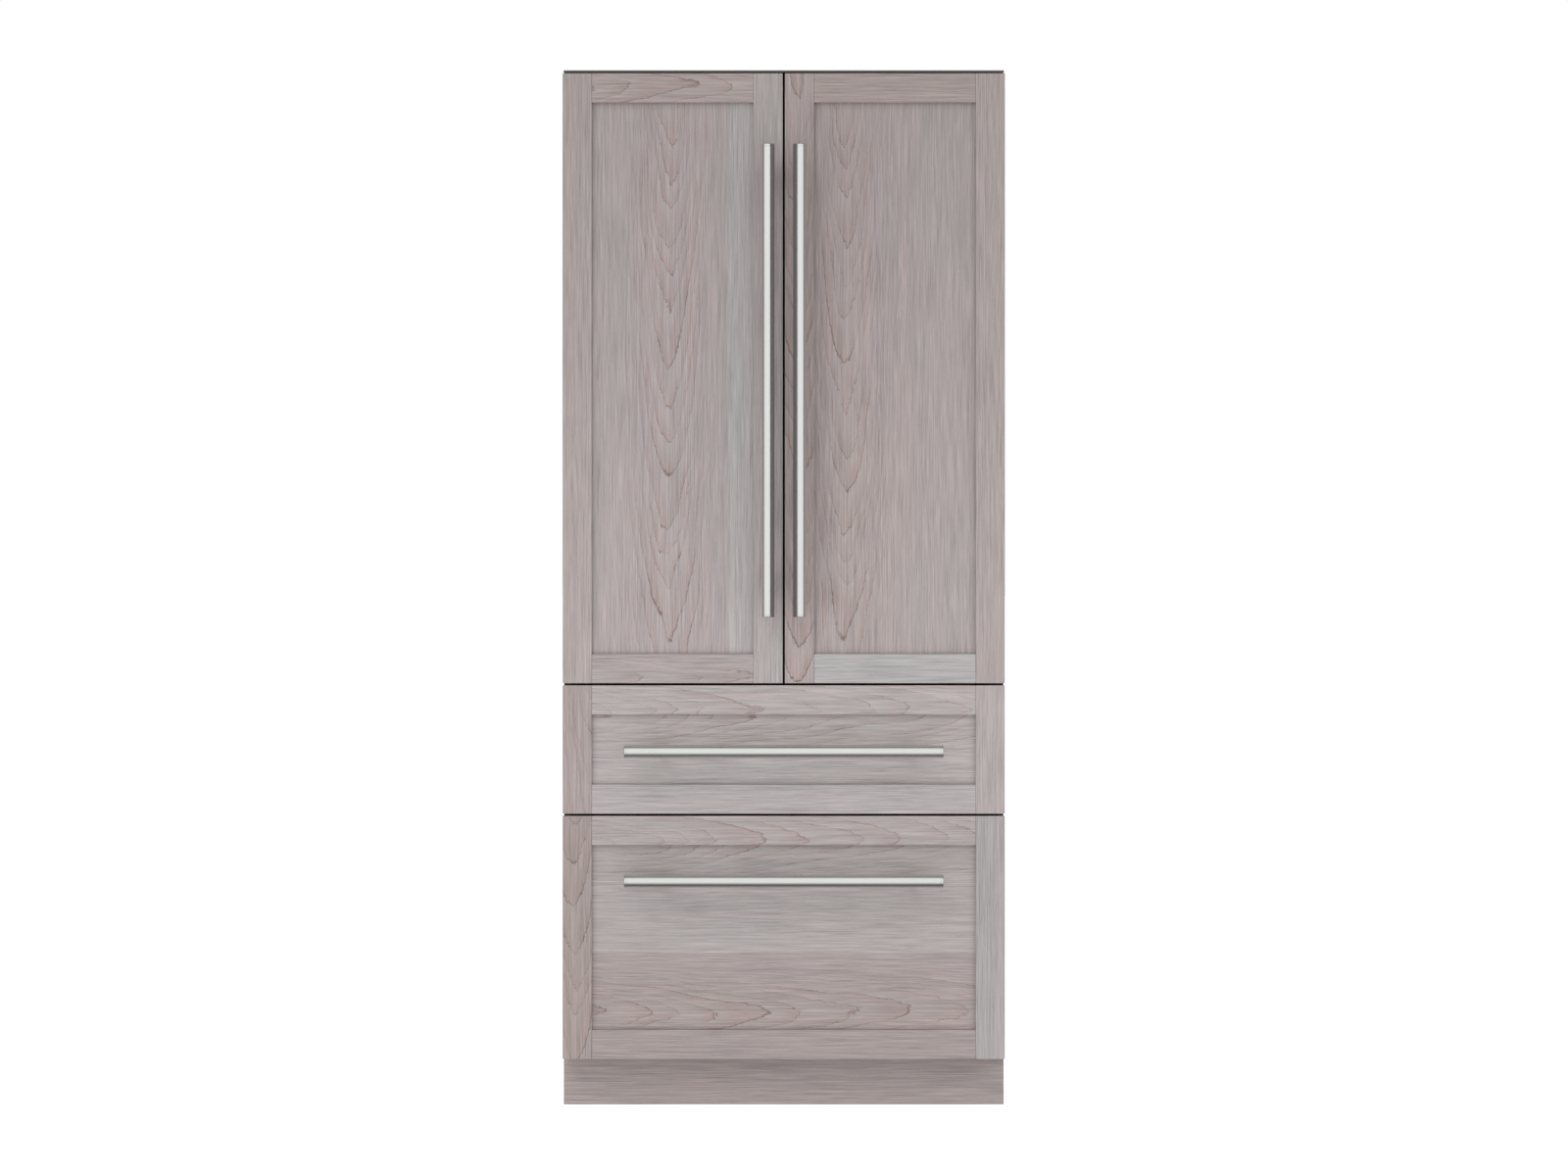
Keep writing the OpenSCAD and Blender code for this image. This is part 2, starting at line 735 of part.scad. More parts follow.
module at_condenser_fan() {
    translate([condenser_fan_x, machine_mid_y, leg_h + pan_t + condenser_fan_r + fan_foot_gap])
        rotate([0, 90, 0]) children();
}
module at_fridge_fan() {
    translate([0, duct_mid_y + fan_offset, fridge_fan_z]) rotate([90, 0, 0]) children();
}
module at_freezer_fan() {
    translate([0, freezer_evap_y + fan_offset, freezer_fan_z]) rotate([90, 0, 0]) children();
}

// Feet and brackets that carry the motors' frames
module fan_motors() {
    bracket_h = 20;
    bracket_lap = fan_offset + 4;
    plate_x = [condenser_fan_x - 7, condenser_fan_x - 4];
    plate_half_w = 30;
    plate_h = 6;
    color("darkslategray") {
        at_condenser_fan() fan_motor(condenser_fan_r, fan_depth);
        box(plate_x, [machine_mid_y - plate_half_w, machine_mid_y + plate_half_w],
            [over_pan, leg_h + pan_t + plate_h]);
        at_fridge_fan() fan_motor(fridge_fan_r, fan_depth);
        pair() box([fridge_fan_r, fridge_fan_r + bracket_w], [duct_mid_y + bracket_lap, cavity_y - seat_gap],
                   [fridge_fan_z - bracket_h, fridge_fan_z + bracket_h]);
        at_freezer_fan() fan_motor(freezer_fan_r, fan_depth);
        pair() box([freezer_fan_r, freezer_fan_r + bracket_w],
                   [freezer_evap_y + bracket_lap, cavity_y - seat_gap],
                   [freezer_fan_z - bracket_h, freezer_fan_z + bracket_h]);
    }
}

module condenser_fan() {
    color("white") at_condenser_fan() fan(condenser_fan_r - 2, 18, fan_depth);
}
module fridge_fan() {
    color("white") at_fridge_fan() fan(fridge_fan_r - 2, 16, fan_depth);
}
module freezer_fan() {
    color("white") at_freezer_fan() fan(freezer_fan_r - 2, 13, fan_depth);
}

cover_x = cavity_x - run_gap;
vent_w = 130;
vent_h = 8;
fridge_vent_x = 200;
freezer_vent_x = 230;
fridge_vent_xs = [-fridge_vent_x, fridge_vent_x];
freezer_vent_xs = [-freezer_vent_x, 0, freezer_vent_x];

// A row of vent slots at height z, in a cover that faces -Y
module vents(y, z, xs) {
    for (x = xs)
        translate([x - vent_w / 2, y - cut, z]) cube([vent_w, duct_t + 2 * cut, vent_h]);
}

module duct_covers() {
    intake_rise = 40;
    freezer_vent_drop = 60;
    color("whitesmoke") {
        difference() {
            box([-cover_x, cover_x], [duct_y, duct_y + duct_t], [fridge_z0 + run_gap, fridge_z1 - run_gap]);
            for (level = [0 : shelf_levels])
                for (row = [0 : 1])
                    vents(duct_y, cover_z + (level + 0.7) * shelf_pitch + row * 2 * vent_h, fridge_vent_xs);
            vents(duct_y, fridge_z0 + intake_rise, fridge_vent_xs);
        }
        difference() {
            box([-cover_x, cover_x], [freezer_duct_y, freezer_duct_y + duct_t],
                [freezer_z0 + run_gap, freezer_z1 - run_gap]);
            for (row = [0 : 2])
                vents(freezer_duct_y, freezer_z1 - freezer_vent_drop + row * 2 * vent_h, freezer_vent_xs);
        }
    }
}

// Fridge shelves

ledge_y0 = crisper_y0 - 4;

// Slotted tracks on the duct cover, and stepped ledges on the side walls for the crispers
module shelf_supports() {
    track_rise = 30;
    track_top_gap = 40;
    track_end = 6;
    track_z = [cover_z + track_rise, fridge_z1 - track_top_gap];
    slot_z0 = cover_z + 2 * slot_pitch - shelf_trim_h - arm_drop - 1;
    slot_y = [duct_y - track_t - cut, duct_y - 1];
    ledge_x = cavity_x - seat_gap;
    ledge_y = [ledge_y0, duct_y - 2];
    color("silver") pair() {
        for (x = track_xs)
            difference() {
                box([x - track_w / 2, x + track_w / 2], [duct_y - track_t, duct_y], track_z);
                for (z = [slot_z0 : slot_pitch : track_z[1] - slot_h - track_end])
                    box([x - slot_w / 2, x + slot_w / 2], slot_y, [z, z + slot_h]);
            }
        box([cavity_x - ledge_w, ledge_x], ledge_y, [ledge_z, ledge_top]);
        box([cavity_x - ledge_w / 2, ledge_x], ledge_y, [ledge_top, cover_z - shelf_trim_h - seat_gap]);
    }
}

// Trim round one pane, with a rebate for the glass; z is the pane's top
pane_lip = 6;

module pane_trim(x, y, z) {
    difference() {
        box(x, y, [z - shelf_trim_h, z]);
        box([x[0] + shelf_trim_w, x[1] - shelf_trim_w], [y[0] + shelf_trim_w, y[1] - shelf_trim_w],
            [z - shelf_trim_h - cut, z + cut]);
        box([x[0] + pane_lip, x[1] - pane_lip], [y[0] + pane_lip, y[1] - pane_lip],
            [z - glass_t - seat_gap, z + cut]);
    }
}

module pane(x, y, z) {
    inset = pane_lip + seat_gap;
    box([x[0] + inset, x[1] - inset], [y[0] + inset, y[1] - inset], [z - glass_t, z]);
}

cover_y = [ledge_y0, duct_y - run_gap];
shelf_x = [shelf_x0, shelf_x1];
shelf_y = [shelf_y0, shelf_y1];

// One shelf's trim on the right, with the arms that hook into the tracks
module shelf_frame(z) {
    arm_y0 = shelf_y0 + 30;
    arm_z = z - shelf_trim_h - seat_gap;
    hook_z = arm_z - arm_drop + seat_gap;
    pane_trim(shelf_x, shelf_y, z);
    for (x = track_xs) {
        translate([x - arm_w / 2, 0, 0]) rotate([90, 0, 90]) linear_extrude(arm_w)
            polygon([[arm_y0, arm_z], [shelf_y1, arm_z], [shelf_y1, arm_z - arm_drop],
                     [shelf_y1 - 20, arm_z - arm_drop], [arm_y0, arm_z - 5]]);
        box([x - hook_w / 2, x + hook_w / 2], [shelf_y1 - cut, shelf_y1 + run_gap + hook_reach],
            [hook_z, hook_z + slot_h - 2]);
    }
}

module shelf_frames() {
    color("whitesmoke") {
        pane_trim([-cover_x, cover_x], cover_y, cover_z);
        box([-2, 2], cover_y + shelf_trim_w * [1, -1] + seat_gap * [1, -1],
            [ledge_top + seat_gap, cover_z - glass_t - seat_gap]);
        box([-crisper_x0 + 2, crisper_x0 - 2], cover_y, [ledge_z, ledge_top]);
        pair() for (level = [1 : shelf_levels]) shelf_frame(cover_z + level * shelf_pitch);
    }
}

module shelf_glass() {
    color("lightblue") pair() {
        pane([-cover_x, pane_lip], cover_y, cover_z);
        for (level = [1 : shelf_levels]) pane(shelf_x, shelf_y, cover_z + level * shelf_pitch);
    }
}

// Crisper on the right, with flanges that ride on the ledges and a grip along its front
module crisper() {
    grip_d = 12;
    grip_t = 3;
    grip_h = 14;
    top_z = flange_z + flange_t;
    grip_z = top_z - 20;
    y = [crisper_y0, crisper_y1];
    color("aliceblue") {
        open_box([crisper_x0, crisper_x1], y, [crisper_z0, top_z], crisper_wall);
        box([crisper_x1 - crisper_wall, cavity_x - ledge_w / 2 - run_gap], y, [flange_z, top_z]);
        box([crisper_x0 - flange_w, crisper_x0 + crisper_wall], y, [flange_z, top_z]);
        box([crisper_x0, crisper_x1], [crisper_y0 - grip_d, crisper_y0], [grip_z - grip_t, grip_z]);
        box([crisper_x0, crisper_x1], [crisper_y0 - grip_d, crisper_y0 - grip_d + grip_t],
            [grip_z - grip_h, grip_z]);
    }
}

module light_bars() {
    ceiling_light = [320, 30, 7];
    ceiling_light_y = 90;
    side_light_t = 4;
    side_light_y = dike_d + 20;
    side_light_w = 14;
    side_light_inset = 60;
    color("white") {
        box([-ceiling_light[0] / 2, ceiling_light[0] / 2],
            [ceiling_light_y, ceiling_light_y + ceiling_light[1]],
            [fridge_z1 - ceiling_light[2], fridge_z1 - seat_gap]);
        pair() box([cavity_x - side_light_t, cavity_x - seat_gap],
                   [side_light_y, side_light_y + side_light_w],
                   [dike_z0 + side_light_inset, dike_z1 - side_light_inset]);
    }
}

// Panel under the fridge's ceiling, with a row of shallow key rests below
module control_panel() {
    panel = [240, 40, 14];
    panel_y = mullion_d + 6;
    key_pitch = 40;
    key_r = 7;
    key_depth = 0.6;
    color("dimgray") difference() {
        box([-panel[0] / 2, panel[0] / 2], [panel_y, panel_y + panel[1]],
            [fridge_z1 - panel[2], fridge_z1 - seat_gap]);
        for (i = [-2 : 2])
            translate([i * key_pitch, panel_y + panel[1] / 2, fridge_z1 - panel[2] - cut])
                cylinder(r = key_r, h = cut + key_depth);
    }
}

// Hinges: an arm and flange on the face frame, with a pin into the door

module hinge(z_pin_end, z_arm, z_flange) {
    arm_z = [z_arm, z_arm + arm_t];
    pin_z = [min(z_pin_end, z_arm), max(z_pin_end, z_arm + arm_t)];
    arm_w = 26;
    flange_w = 50;
    flange_d = 4;
    translate([pin_x, pin_y, arm_z[0]]) cylinder(r = eye_r, h = arm_t);
    box([pin_x, pin_x + arm_w], [pin_y, 0], arm_z);
    box([pin_x, pin_x + flange_w], [-flange_d, 0], z_flange);
    translate([pin_x, pin_y, pin_z[0]]) cylinder(r = pin_r, h = pin_z[1] - pin_z[0]);
}

// The lower arms carry the doors on washers, and the upper ones only guide their pins
module door_hinges() {
    lower_rise = 6;
    upper_rise = 3;
    flange_gap = 0.5;
    washer_t = hinge_margin - lower_rise - arm_t - seat_gap;
    color("gray") pair() {
        hinge(core_z0 + pin_depth, door_z0 + lower_rise, [door_z0 + flange_gap, core_z0 - flange_gap]);
        translate([pin_x, pin_y, door_z0 + lower_rise + arm_t]) cylinder(r = eye_r - 1, h = washer_t);
        hinge(core_z1 - pin_depth, core_z1 + upper_rise, [core_z1 + flange_gap, door_z1 - flange_gap]);
    }
}

// Wooden fronts

// Framed front: two stiles, two rails and a field in their rebates
module framed_front(x, z) {
    back = [wood_y, core_front_y];
    inner_x = [x[0] + stile_w, x[1] - stile_w];
    inner_z = [z[0] + stile_w, z[1] - stile_w];
    pocket_x = [inner_x[0] - rebate_w, inner_x[1] + rebate_w];
    pocket_z = [inner_z[0] - rebate_w, inner_z[1] + rebate_w];
    color("rosybrown") {
        difference() {
            union() {
                box([x[0], inner_x[0]], back, z);
                box([inner_x[1], x[1]], back, z);
                for (rail_z = [[z[0], inner_z[0]], [inner_z[1], z[1]]])
                    box([inner_x[0] + seat_gap, inner_x[1] - seat_gap], back, rail_z);
            }
            box(pocket_x, [field_y, core_front_y + cut], pocket_z);
        }
        box(pocket_x + seat_gap * [1, -1], [field_y + seat_gap, field_y + seat_gap + field_t],
            pocket_z + seat_gap * [1, -1]);
    }
}

// Handle with its tube up +Z from the origin, posts towards +Y to the seat, and their bolts
module handle(len, seat_y, grip_t) {
    posts = [post_inset, len - post_inset];
    bore_r = handle_r - handle_wall;
    seat = seat_y - handle_y;
    tube_end = cap_len + joint_gap;
    saddle_r = handle_r + joint_gap;
    thread_len = 14;
    color("silver") {
        difference() {
            translate([0, 0, tube_end]) cylinder(r = handle_r, h = len - 2 * tube_end);
            translate([0, 0, -cut]) cylinder(r = bore_r, h = len + 2 * cut);
        }
        for (end = [0, 1])
            translate([0, 0, end * len]) mirror([0, 0, end]) {
                cylinder(r1 = handle_r - 1, r2 = handle_r, h = 1);
                translate([0, 0, 1]) cylinder(r = handle_r, h = cap_len - 1);
                cylinder(r = bore_r - joint_gap, h = cap_len + plug_len);
            }
        for (z = posts) {
            difference() {
                rod_y(post_r, 0, z, 0, seat);
                translate([0, 0, z - post_r - cut]) cylinder(r = saddle_r, h = 2 * (post_r + cut));
                rod_y(bolt_r, 0, z, seat - thread_len - 2, seat + cut);
            }
            rod_y(bolt_r - 0.15, 0, z, seat - thread_len, seat + grip_t + joint_gap);
            rod_y(bolt_head_r, 0, z, seat + grip_t + joint_gap, seat + grip_t + bolt_head_t);
        }
    }
}

// Bolt holes through the wood, with room for the heads behind it
module bolt_holes(points, grip_t, seat_y) {
    for (p = points) {
        rod_y(bolt_r + 0.3, p[0], p[1], wood_y - cut, core_front_y + cut);
        rod_y(bolt_head_r + 0.6, p[0], p[1], seat_y + grip_t, core_front_y + cut);
    }
}

door_grip = board_t - bolt_head_t - 1;
door_posts = [for (z = [post_inset, door_handle_len - post_inset]) [door_handle_x, door_handle_z + z]];

module door_front() {
    difference() {
        framed_front([door_x0, door_x1], [door_z0, door_z1]);
        bolt_holes(door_posts, door_grip, wood_y);
    }
}

module door_handle() {
    translate([door_handle_x, handle_y, door_handle_z]) handle(door_handle_len, wood_y, door_grip);
}

drawer_seat_y = field_y + seat_gap;

module drawer_front(z, handle_z) {
    post_x = drawer_handle_len / 2 - post_inset;
    difference() {
        framed_front([-front_w / 2, front_w / 2], z);
        bolt_holes([for (s = [-1, 1]) [s * post_x, handle_z]], field_t, drawer_seat_y);
    }
}

module drawer_handle(handle_z) {
    translate([-drawer_handle_len / 2, handle_y, handle_z]) rotate([0, 90, 0])
        handle(drawer_handle_len, drawer_seat_y, field_t);
}

// Insulated doors

hinge_block = [46, 32];
shell_y = [core_front_y, core_back_y - liner_t];

module hinge_blocks(grow) {
    block_y = [core_front_y + skin_t, shell_y[1]];
    block_x = [core_x0 + skin_t, core_x0 + hinge_block[0] + grow];
    box(block_x, block_y, [core_z0 + skin_t, core_z0 + hinge_block[1] + grow]);
    box(block_x, block_y, [core_z1 - hinge_block[1] - grow, core_z1 - skin_t]);
}

module door_shell() {
    color("lightgray") difference() {
        union() {
            difference() {
                box([core_x0, core_x1], shell_y, [core_z0, core_z1]);
                box([core_x0 + skin_t, core_x1 - skin_t], [core_front_y + skin_t, shell_y[1] + cut],
                    [core_z0 + skin_t, core_z1 - skin_t]);
            }
            hinge_blocks(0);
        }
        for (z = [core_z0 - cut, core_z1 - pin_depth - 2])
            translate([pin_x, pin_y, z]) cylinder(r = pin_r + pin_clear, h = pin_depth + 2 + cut);
    }
}

module door_foam() {
    color("khaki") difference() {
        box([core_x0 + skin_t, core_x1 - skin_t], [core_front_y + skin_t, shell_y[1]],
            [core_z0 + skin_t, core_z1 - skin_t]);
        hinge_blocks(seat_gap);
    }
}

module door_liner() {
    color("white") {
        box([core_x0, core_x1], [shell_y[1], core_back_y], [core_z0, core_z1]);
        ring([dike_x0, dike_x1], [core_back_y - liner_t / 2, dike_d], [dike_z0, dike_z1], dike_w);
    }
}

module door_gasket() {
    color("dimgray")
        ring([door_gasket_x0, door_gasket_x1], [core_back_y, -run_gap],
             [core_z0 + gasket_edge, core_z1 - gasket_edge], gasket_w);
}

module door_bins() {
    color("aliceblue") for (i = [0 : bin_count - 1])
        translate([0, 0, bin_z0 + i * bin_pitch])
            open_box([bin_x0, bin_x1], [core_back_y + run_gap, bin_reach], [0, bin_h], bin_wall);
}

// Drawers

drawer_core_x = front_w / 2 - core_margin;
drawer_gasket_x = (case_w / 2 + cavity_x) / 2 + gasket_w / 2;
drawer_gasket_gap = 4;
drawer_gasket_in = rail_h / 2 - front_gap / 2 - gasket_w - drawer_gasket_gap;

module drawer_shell(z) {
    core_z = [z[0] + core_margin, z[1] - core_margin];
    color("lightgray") difference() {
        box([-drawer_core_x, drawer_core_x], [core_front_y, core_back_y], core_z);
        box([-drawer_core_x + skin_t, drawer_core_x - skin_t], [core_front_y - cut, core_back_y - skin_t],
            core_z + [skin_t, -skin_t]);
    }
}

module drawer_foam(z) {
    inset = core_margin + skin_t;
    color("khaki")
        box([-drawer_core_x + skin_t, drawer_core_x - skin_t], [core_front_y, core_back_y - skin_t],
            z + [inset, -inset]);
}

module drawer_gasket(z) {
    color("dimgray")
        ring([-drawer_gasket_x, drawer_gasket_x], [core_back_y, -run_gap],
             z + [drawer_gasket_in, -drawer_gasket_in], gasket_w);
}

module drawer_bin(y1, z) {
    color("aliceblue")
        open_box([-bin_half_w, bin_half_w], [core_back_y + seat_gap, y1], z, drawer_wall);
}

// One slide member along Y: a channel, and the bearing strips on its outside
module channel(reach, half_h, len, strip_h) {
    strip_t = 3;
    translate([0, len, 0]) rotate([90, 0, 0]) linear_extrude(len) {
        difference() {
            translate([reach[0], -half_h]) square([reach[1] - reach[0], 2 * half_h]);
            translate([reach[0] + slide_wall, -half_h + slide_wall])
                square([reach[1] - reach[0], 2 * (half_h - slide_wall)]);
        }
        if (strip_h > 0)
            for (side = [-1, 1])
                translate([(reach[0] + reach[1]) / 2, side * (half_h + strip_h / 2)])
                    square([strip_t, strip_h + 2 * strip_sink], center = true);
    }
}

// Members are drawn from the liner's wall inwards, on both sides
module on_walls(z, y0) {
    pair() translate([-cavity_x + seat_gap, y0, z]) children();
}

strip_sink = 0.1;
link_strip = slide_half_h - slide_wall - link_half_h - run_gap - strip_sink;
runner_strip = link_half_h - slide_wall - runner_half_h - run_gap - strip_sink;

module drawer_slides() {
    color("silver") {
        on_walls(middle_slide_z, slide_y0) channel([0, slide_reach], slide_half_h, middle_slide_len, 0);
        on_walls(freezer_slide_z, slide_y0) channel([0, slide_reach], slide_half_h, freezer_slide_len, 0);
    }
}

module links(z, len) {
    end_gap = 2;
    color("silver") on_walls(z, slide_y0 + end_gap)
        channel([link_in, link_reach], link_half_h, len - 2 * end_gap, link_strip);
}

// The runner's web faces the bin, so its channel is turned round
module runners(z, len) {
    end_gap = 4;
    color("silver") on_walls(z, core_back_y + seat_gap)
        translate([runner_in + runner_reach - seat_gap, 0, 0]) mirror([1, 0, 0])
            channel([runner_in, runner_reach], runner_half_h,
                    len + slide_y0 - core_back_y - end_gap, runner_strip);
}

module freezer_tray() {
    inside = bin_half_w - drawer_wall - 1;
    y = [core_back_y + seat_gap + drawer_wall + run_gap, core_back_y + drawer_wall + tray_d];
    color("white") {
        open_box([-inside, inside], y, [tray_z1 - tray_h, tray_z1], drawer_wall);
        pair() box([inside - drawer_wall, bin_half_w], y, [tray_z1 - flange_t, tray_z1]);
    }
}

freezer_front_z = [freezer_front_z0, freezer_front_z1];
middle_front_z = [middle_front_z0, middle_front_z1];
freezer_handle_z = freezer_front_z1 - freezer_handle_drop;
middle_handle_z = middle_front_z1 - middle_handle_drop;
freezer_bin_z = [freezer_bin_z0, freezer_bin_z1];
middle_bin_z = [middle_z0 + middle_floor_gap, middle_z1 - middle_top_gap];

// Moves the whole so that its origin is under the middle of its depth
module placed() {
    translate([0, origin_y, 0]) children();
}
module placed_right() {
    placed() mirror([1, 0, 0]) children();
}

placed() outer_case();
placed() rear_panels();
placed() insulation();
placed() fridge_liner();
placed() drawer_liners();
placed() face_frame();
placed() centre_mullion();
placed() header_trim();
placed() base_frame();
placed() toe_kick();
placed() levelling_feet();
placed() rear_rollers();
placed() compressor();
placed() condenser();
placed() fan_motors();
placed() condenser_fan();
placed() fridge_fan();
placed() freezer_fan();
placed() evaporators();
placed() duct_covers();
placed() shelf_supports();
placed() shelf_frames();
placed() shelf_glass();
placed() door_hinges();
placed() drawer_slides();
placed() light_bars();
placed() control_panel();
placed() crisper();  // right_crisper
placed_right() crisper();  // left_crisper
placed() door_front();  // left_door_front
placed() door_handle();  // left_door_handle
placed() door_shell();  // left_door_shell
placed() door_foam();  // left_door_foam
placed() door_liner();  // left_door_liner
placed() door_gasket();  // left_door_gasket
placed() door_bins();  // left_door_bins
placed_right() door_front();  // right_door_front
placed_right() door_handle();  // right_door_handle
placed_right() door_shell();  // right_door_shell
placed_right() door_foam();  // right_door_foam
placed_right() door_liner();  // right_door_liner
placed_right() door_gasket();  // right_door_gasket
placed_right() door_bins();  // right_door_bins
placed() drawer_front(middle_front_z, middle_handle_z);  // middle_drawer_front
placed() drawer_handle(middle_handle_z);  // middle_drawer_handle
placed() drawer_shell(middle_front_z);  // middle_drawer_shell
placed() drawer_foam(middle_front_z);  // middle_drawer_foam
placed() drawer_gasket(middle_front_z);  // middle_drawer_gasket
placed() drawer_bin(middle_bin_y1, middle_bin_z);  // middle_drawer_bin
placed() runners(middle_slide_z, middle_slide_len);  // middle_drawer_runners
placed() links(middle_slide_z, middle_slide_len);  // middle_drawer_links
placed() drawer_front(freezer_front_z, freezer_handle_z);  // freezer_drawer_front
placed() drawer_handle(freezer_handle_z);  // freezer_drawer_handle
placed() drawer_shell(freezer_front_z);  // freezer_drawer_shell
placed() drawer_foam(freezer_front_z);  // freezer_drawer_foam
placed() drawer_gasket(freezer_front_z);  // freezer_drawer_gasket
placed() drawer_bin(freezer_bin_y1, freezer_bin_z);  // freezer_drawer_bin
placed() runners(freezer_slide_z, freezer_slide_len);  // freezer_drawer_runners
placed() links(freezer_slide_z, freezer_slide_len);  // freezer_drawer_links
placed() freezer_tray();
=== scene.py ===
import math

import bmesh
import bpy
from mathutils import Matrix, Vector


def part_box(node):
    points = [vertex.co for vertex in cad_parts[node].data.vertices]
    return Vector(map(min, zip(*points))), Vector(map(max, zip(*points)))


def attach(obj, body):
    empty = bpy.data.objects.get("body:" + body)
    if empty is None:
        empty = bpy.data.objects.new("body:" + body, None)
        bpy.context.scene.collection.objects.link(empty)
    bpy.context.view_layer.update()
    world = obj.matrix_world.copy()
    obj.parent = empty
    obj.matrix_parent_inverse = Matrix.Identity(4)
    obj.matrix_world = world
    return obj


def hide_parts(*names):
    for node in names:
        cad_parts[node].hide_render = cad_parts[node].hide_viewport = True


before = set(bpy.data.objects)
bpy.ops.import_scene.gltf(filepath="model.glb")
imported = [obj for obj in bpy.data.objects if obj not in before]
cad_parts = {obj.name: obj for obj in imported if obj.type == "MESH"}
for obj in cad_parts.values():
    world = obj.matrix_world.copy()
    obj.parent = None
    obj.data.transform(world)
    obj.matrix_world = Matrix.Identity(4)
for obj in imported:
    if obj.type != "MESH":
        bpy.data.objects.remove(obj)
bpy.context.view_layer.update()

# A refrigerator with wooden fronts, dressed round its CAD solids.
# Sizes are in metres: X to the right, Y from the front to the back, Z up.

# Wooden fronts
STILE_W = 0.060  # width of the stiles and rails
FIELD_RECESS = 0.007  # from the frame's face back to the rebate that holds the field
FIELD_T = 0.008
REBATE_W = 0.009  # how far the rebate runs behind the frame
SEAT_GAP = 0.0002  # hair of room between parts that meet
EDGE_EASE = 0.0009
DOOR_GRIP = 0.016  # wood that a door handle's bolts clamp
BOLT_HOLE_R = 0.0033
BOLT_HEAD_ROOM_R = 0.0066

# The wood's growth rings and wash, and the light and shade painted into it
RING_STEP = 0.0052
PAINTED_LIGHT_FADE = 0.19  # painted light and shade: share of its lightness that a board loses for each metre up, so boards are lighter towards the bottom and darker towards the top
PAINTED_LIGHT_LEVEL = 1.5  # height at which the painted light and shade leave a board at the lightness of its table row
# Painted shade: how far into a field shade is painted beside a stile, below the upper rail and above the
# lower one, where the recess is shaded
PAINTED_SHADE_BESIDE, PAINTED_SHADE_BELOW, PAINTED_SHADE_ABOVE = 0.016, 0.020, 0.008
NO_WINDOW = (-9, -9, 9, 9)  # edges so far off that no shade is painted along them

# Handles
HANDLE_R = 0.0133
HANDLE_WALL = 0.002
FIT_GAP = 0.0001
CAP_LEN = 0.005
PLUG_LEN = 0.008  # the cap's plug inside the tube
POST_R = 0.008
POST_INSET = 0.075  # from the handle's end to its post
BOLT_THREAD_LEN = 0.014
BOLT_HEAD_H = 0.003

# Back of the case
SHEET_IN, SHEET_OUT = 0.00115, 0.00005  # from the solid's back in to the sheets' two faces
SHEET_SPLIT = 0.300  # height of the joint between back sheet and machine cover
HEM_W = 0.014
HEM_RISE = 0.00045  # how far the hem stands proud of the sheet's face
FIELD_SINK = 0.00075  # how far the pressed field lies behind the hem
BEAD_X, BEAD_Z = (-0.340, 0.340), (0.560, 0.578)  # the lowest bead
BEAD_COUNT, BEAD_STEP = 4, 0.400
SLOT_X, SLOT_Z = (-0.325, -0.175), (0.090, 0.097)  # the first louvre slot
BLADE_LAP = 0.0015  # how far a blade runs past its slot's ends
LOUVRES = {"columns": 3, "rows": 9, "column_step": (0.250, 0, 0), "row_step": (0, 0, 0.170 / 9)}
INLET_X, INLET_Z = (-0.400, -0.360), (0.184, 0.216)
SCREW_R, SCREW_H = 0.0042, 0.00044
CASE_SCREW_R, CASE_SCREW_H = 0.0045, 0.0018

# Mouldings
LINER_T = 0.002
TUB_WALL, DRAWER_WALL, DRAWER_LIP = 0.0025, 0.003, 0.004
HANG_INNER, HANG_OUTER = 0.009, 0.0157  # widths of the flanges that a crisper hangs by
CRISPER_GRIP_OUT = 0.012
RIM_X, RIM_Z = (0.038, 0.398), (1.12575, 2.052)  # the doors' liner rims, from the middle line
DOOR_BIN_H, DOOR_BIN_COUNT = 0.095, 4
BAND_H, BAND_T, BAND_CORNER = 0.024, 0.0019, 0.0235
KEY_X, KEY_STEP, KEY_COUNT = -0.080, 0.040, 5

EASE_OVER = math.radians(30)  # edges sharper than this are eased
# Edges sharper than this, in degrees, are shaded crisp: on pressed, plain, round and soft shapes
PRESSED_CRISP, PLAIN_CRISP, ROUND_CRISP, SEAL_CRISP, GRIP_CRISP = 20, 30, 35, 40, 50

# Studio
SKY_LIGHT = 0.83
SKY_RISE = 0.34
FLOOR_REACH = 900
FLAG_Y, FLAG_Z = (-0.385, -0.290), (0.94, 2.05)
SOFT_BOX_AT, SOFT_BOX_AIM = (-6.0, -10.8, 11.6), (0, 0, 1.1)
SOFT_BOX_SIZE, SOFT_BOX_ENERGY = (7.2, 5.4), 414
CAMERA_AT, SENSOR_MM, LENS_MM = (0.0005, -13.78265, 1.0688), 36.0, 150.7


# Shader building

class Value:
    """One output of a shader node; arithmetic on it adds Math nodes."""

    def __init__(self, finish, socket):
        self.finish = finish
        self.socket = socket

    def _math(self, operation, *values):
        return self.finish.add("Math", {"operation": operation}, values)

    def __add__(self, other):
        return self._math("ADD", self, other)

    def __sub__(self, other):
        return self._math("SUBTRACT", self, other)

    def __rsub__(self, other):
        return self._math("SUBTRACT", other, self)

    def __mul__(self, other):
        return self._math("MULTIPLY", self, other)

    def __truediv__(self, other):
        return self._math("DIVIDE", self, other)

    def __pow__(self, other):
        return self._math("POWER", self, other)

    __radd__ = __add__
    __rmul__ = __mul__

    def fraction(self):
        return self._math("FRACT", self)

    def magnitude(self):
        return self._math("ABSOLUTE", self)

    def rise(self, low, high):
        """0 below low, 1 above high, and a smooth step between them."""
        return self.finish.add(
            "MapRange",
            {"interpolation_type": "SMOOTHSTEP"},
            {"Value": self, "From Min": low, "From Max": high},
        )


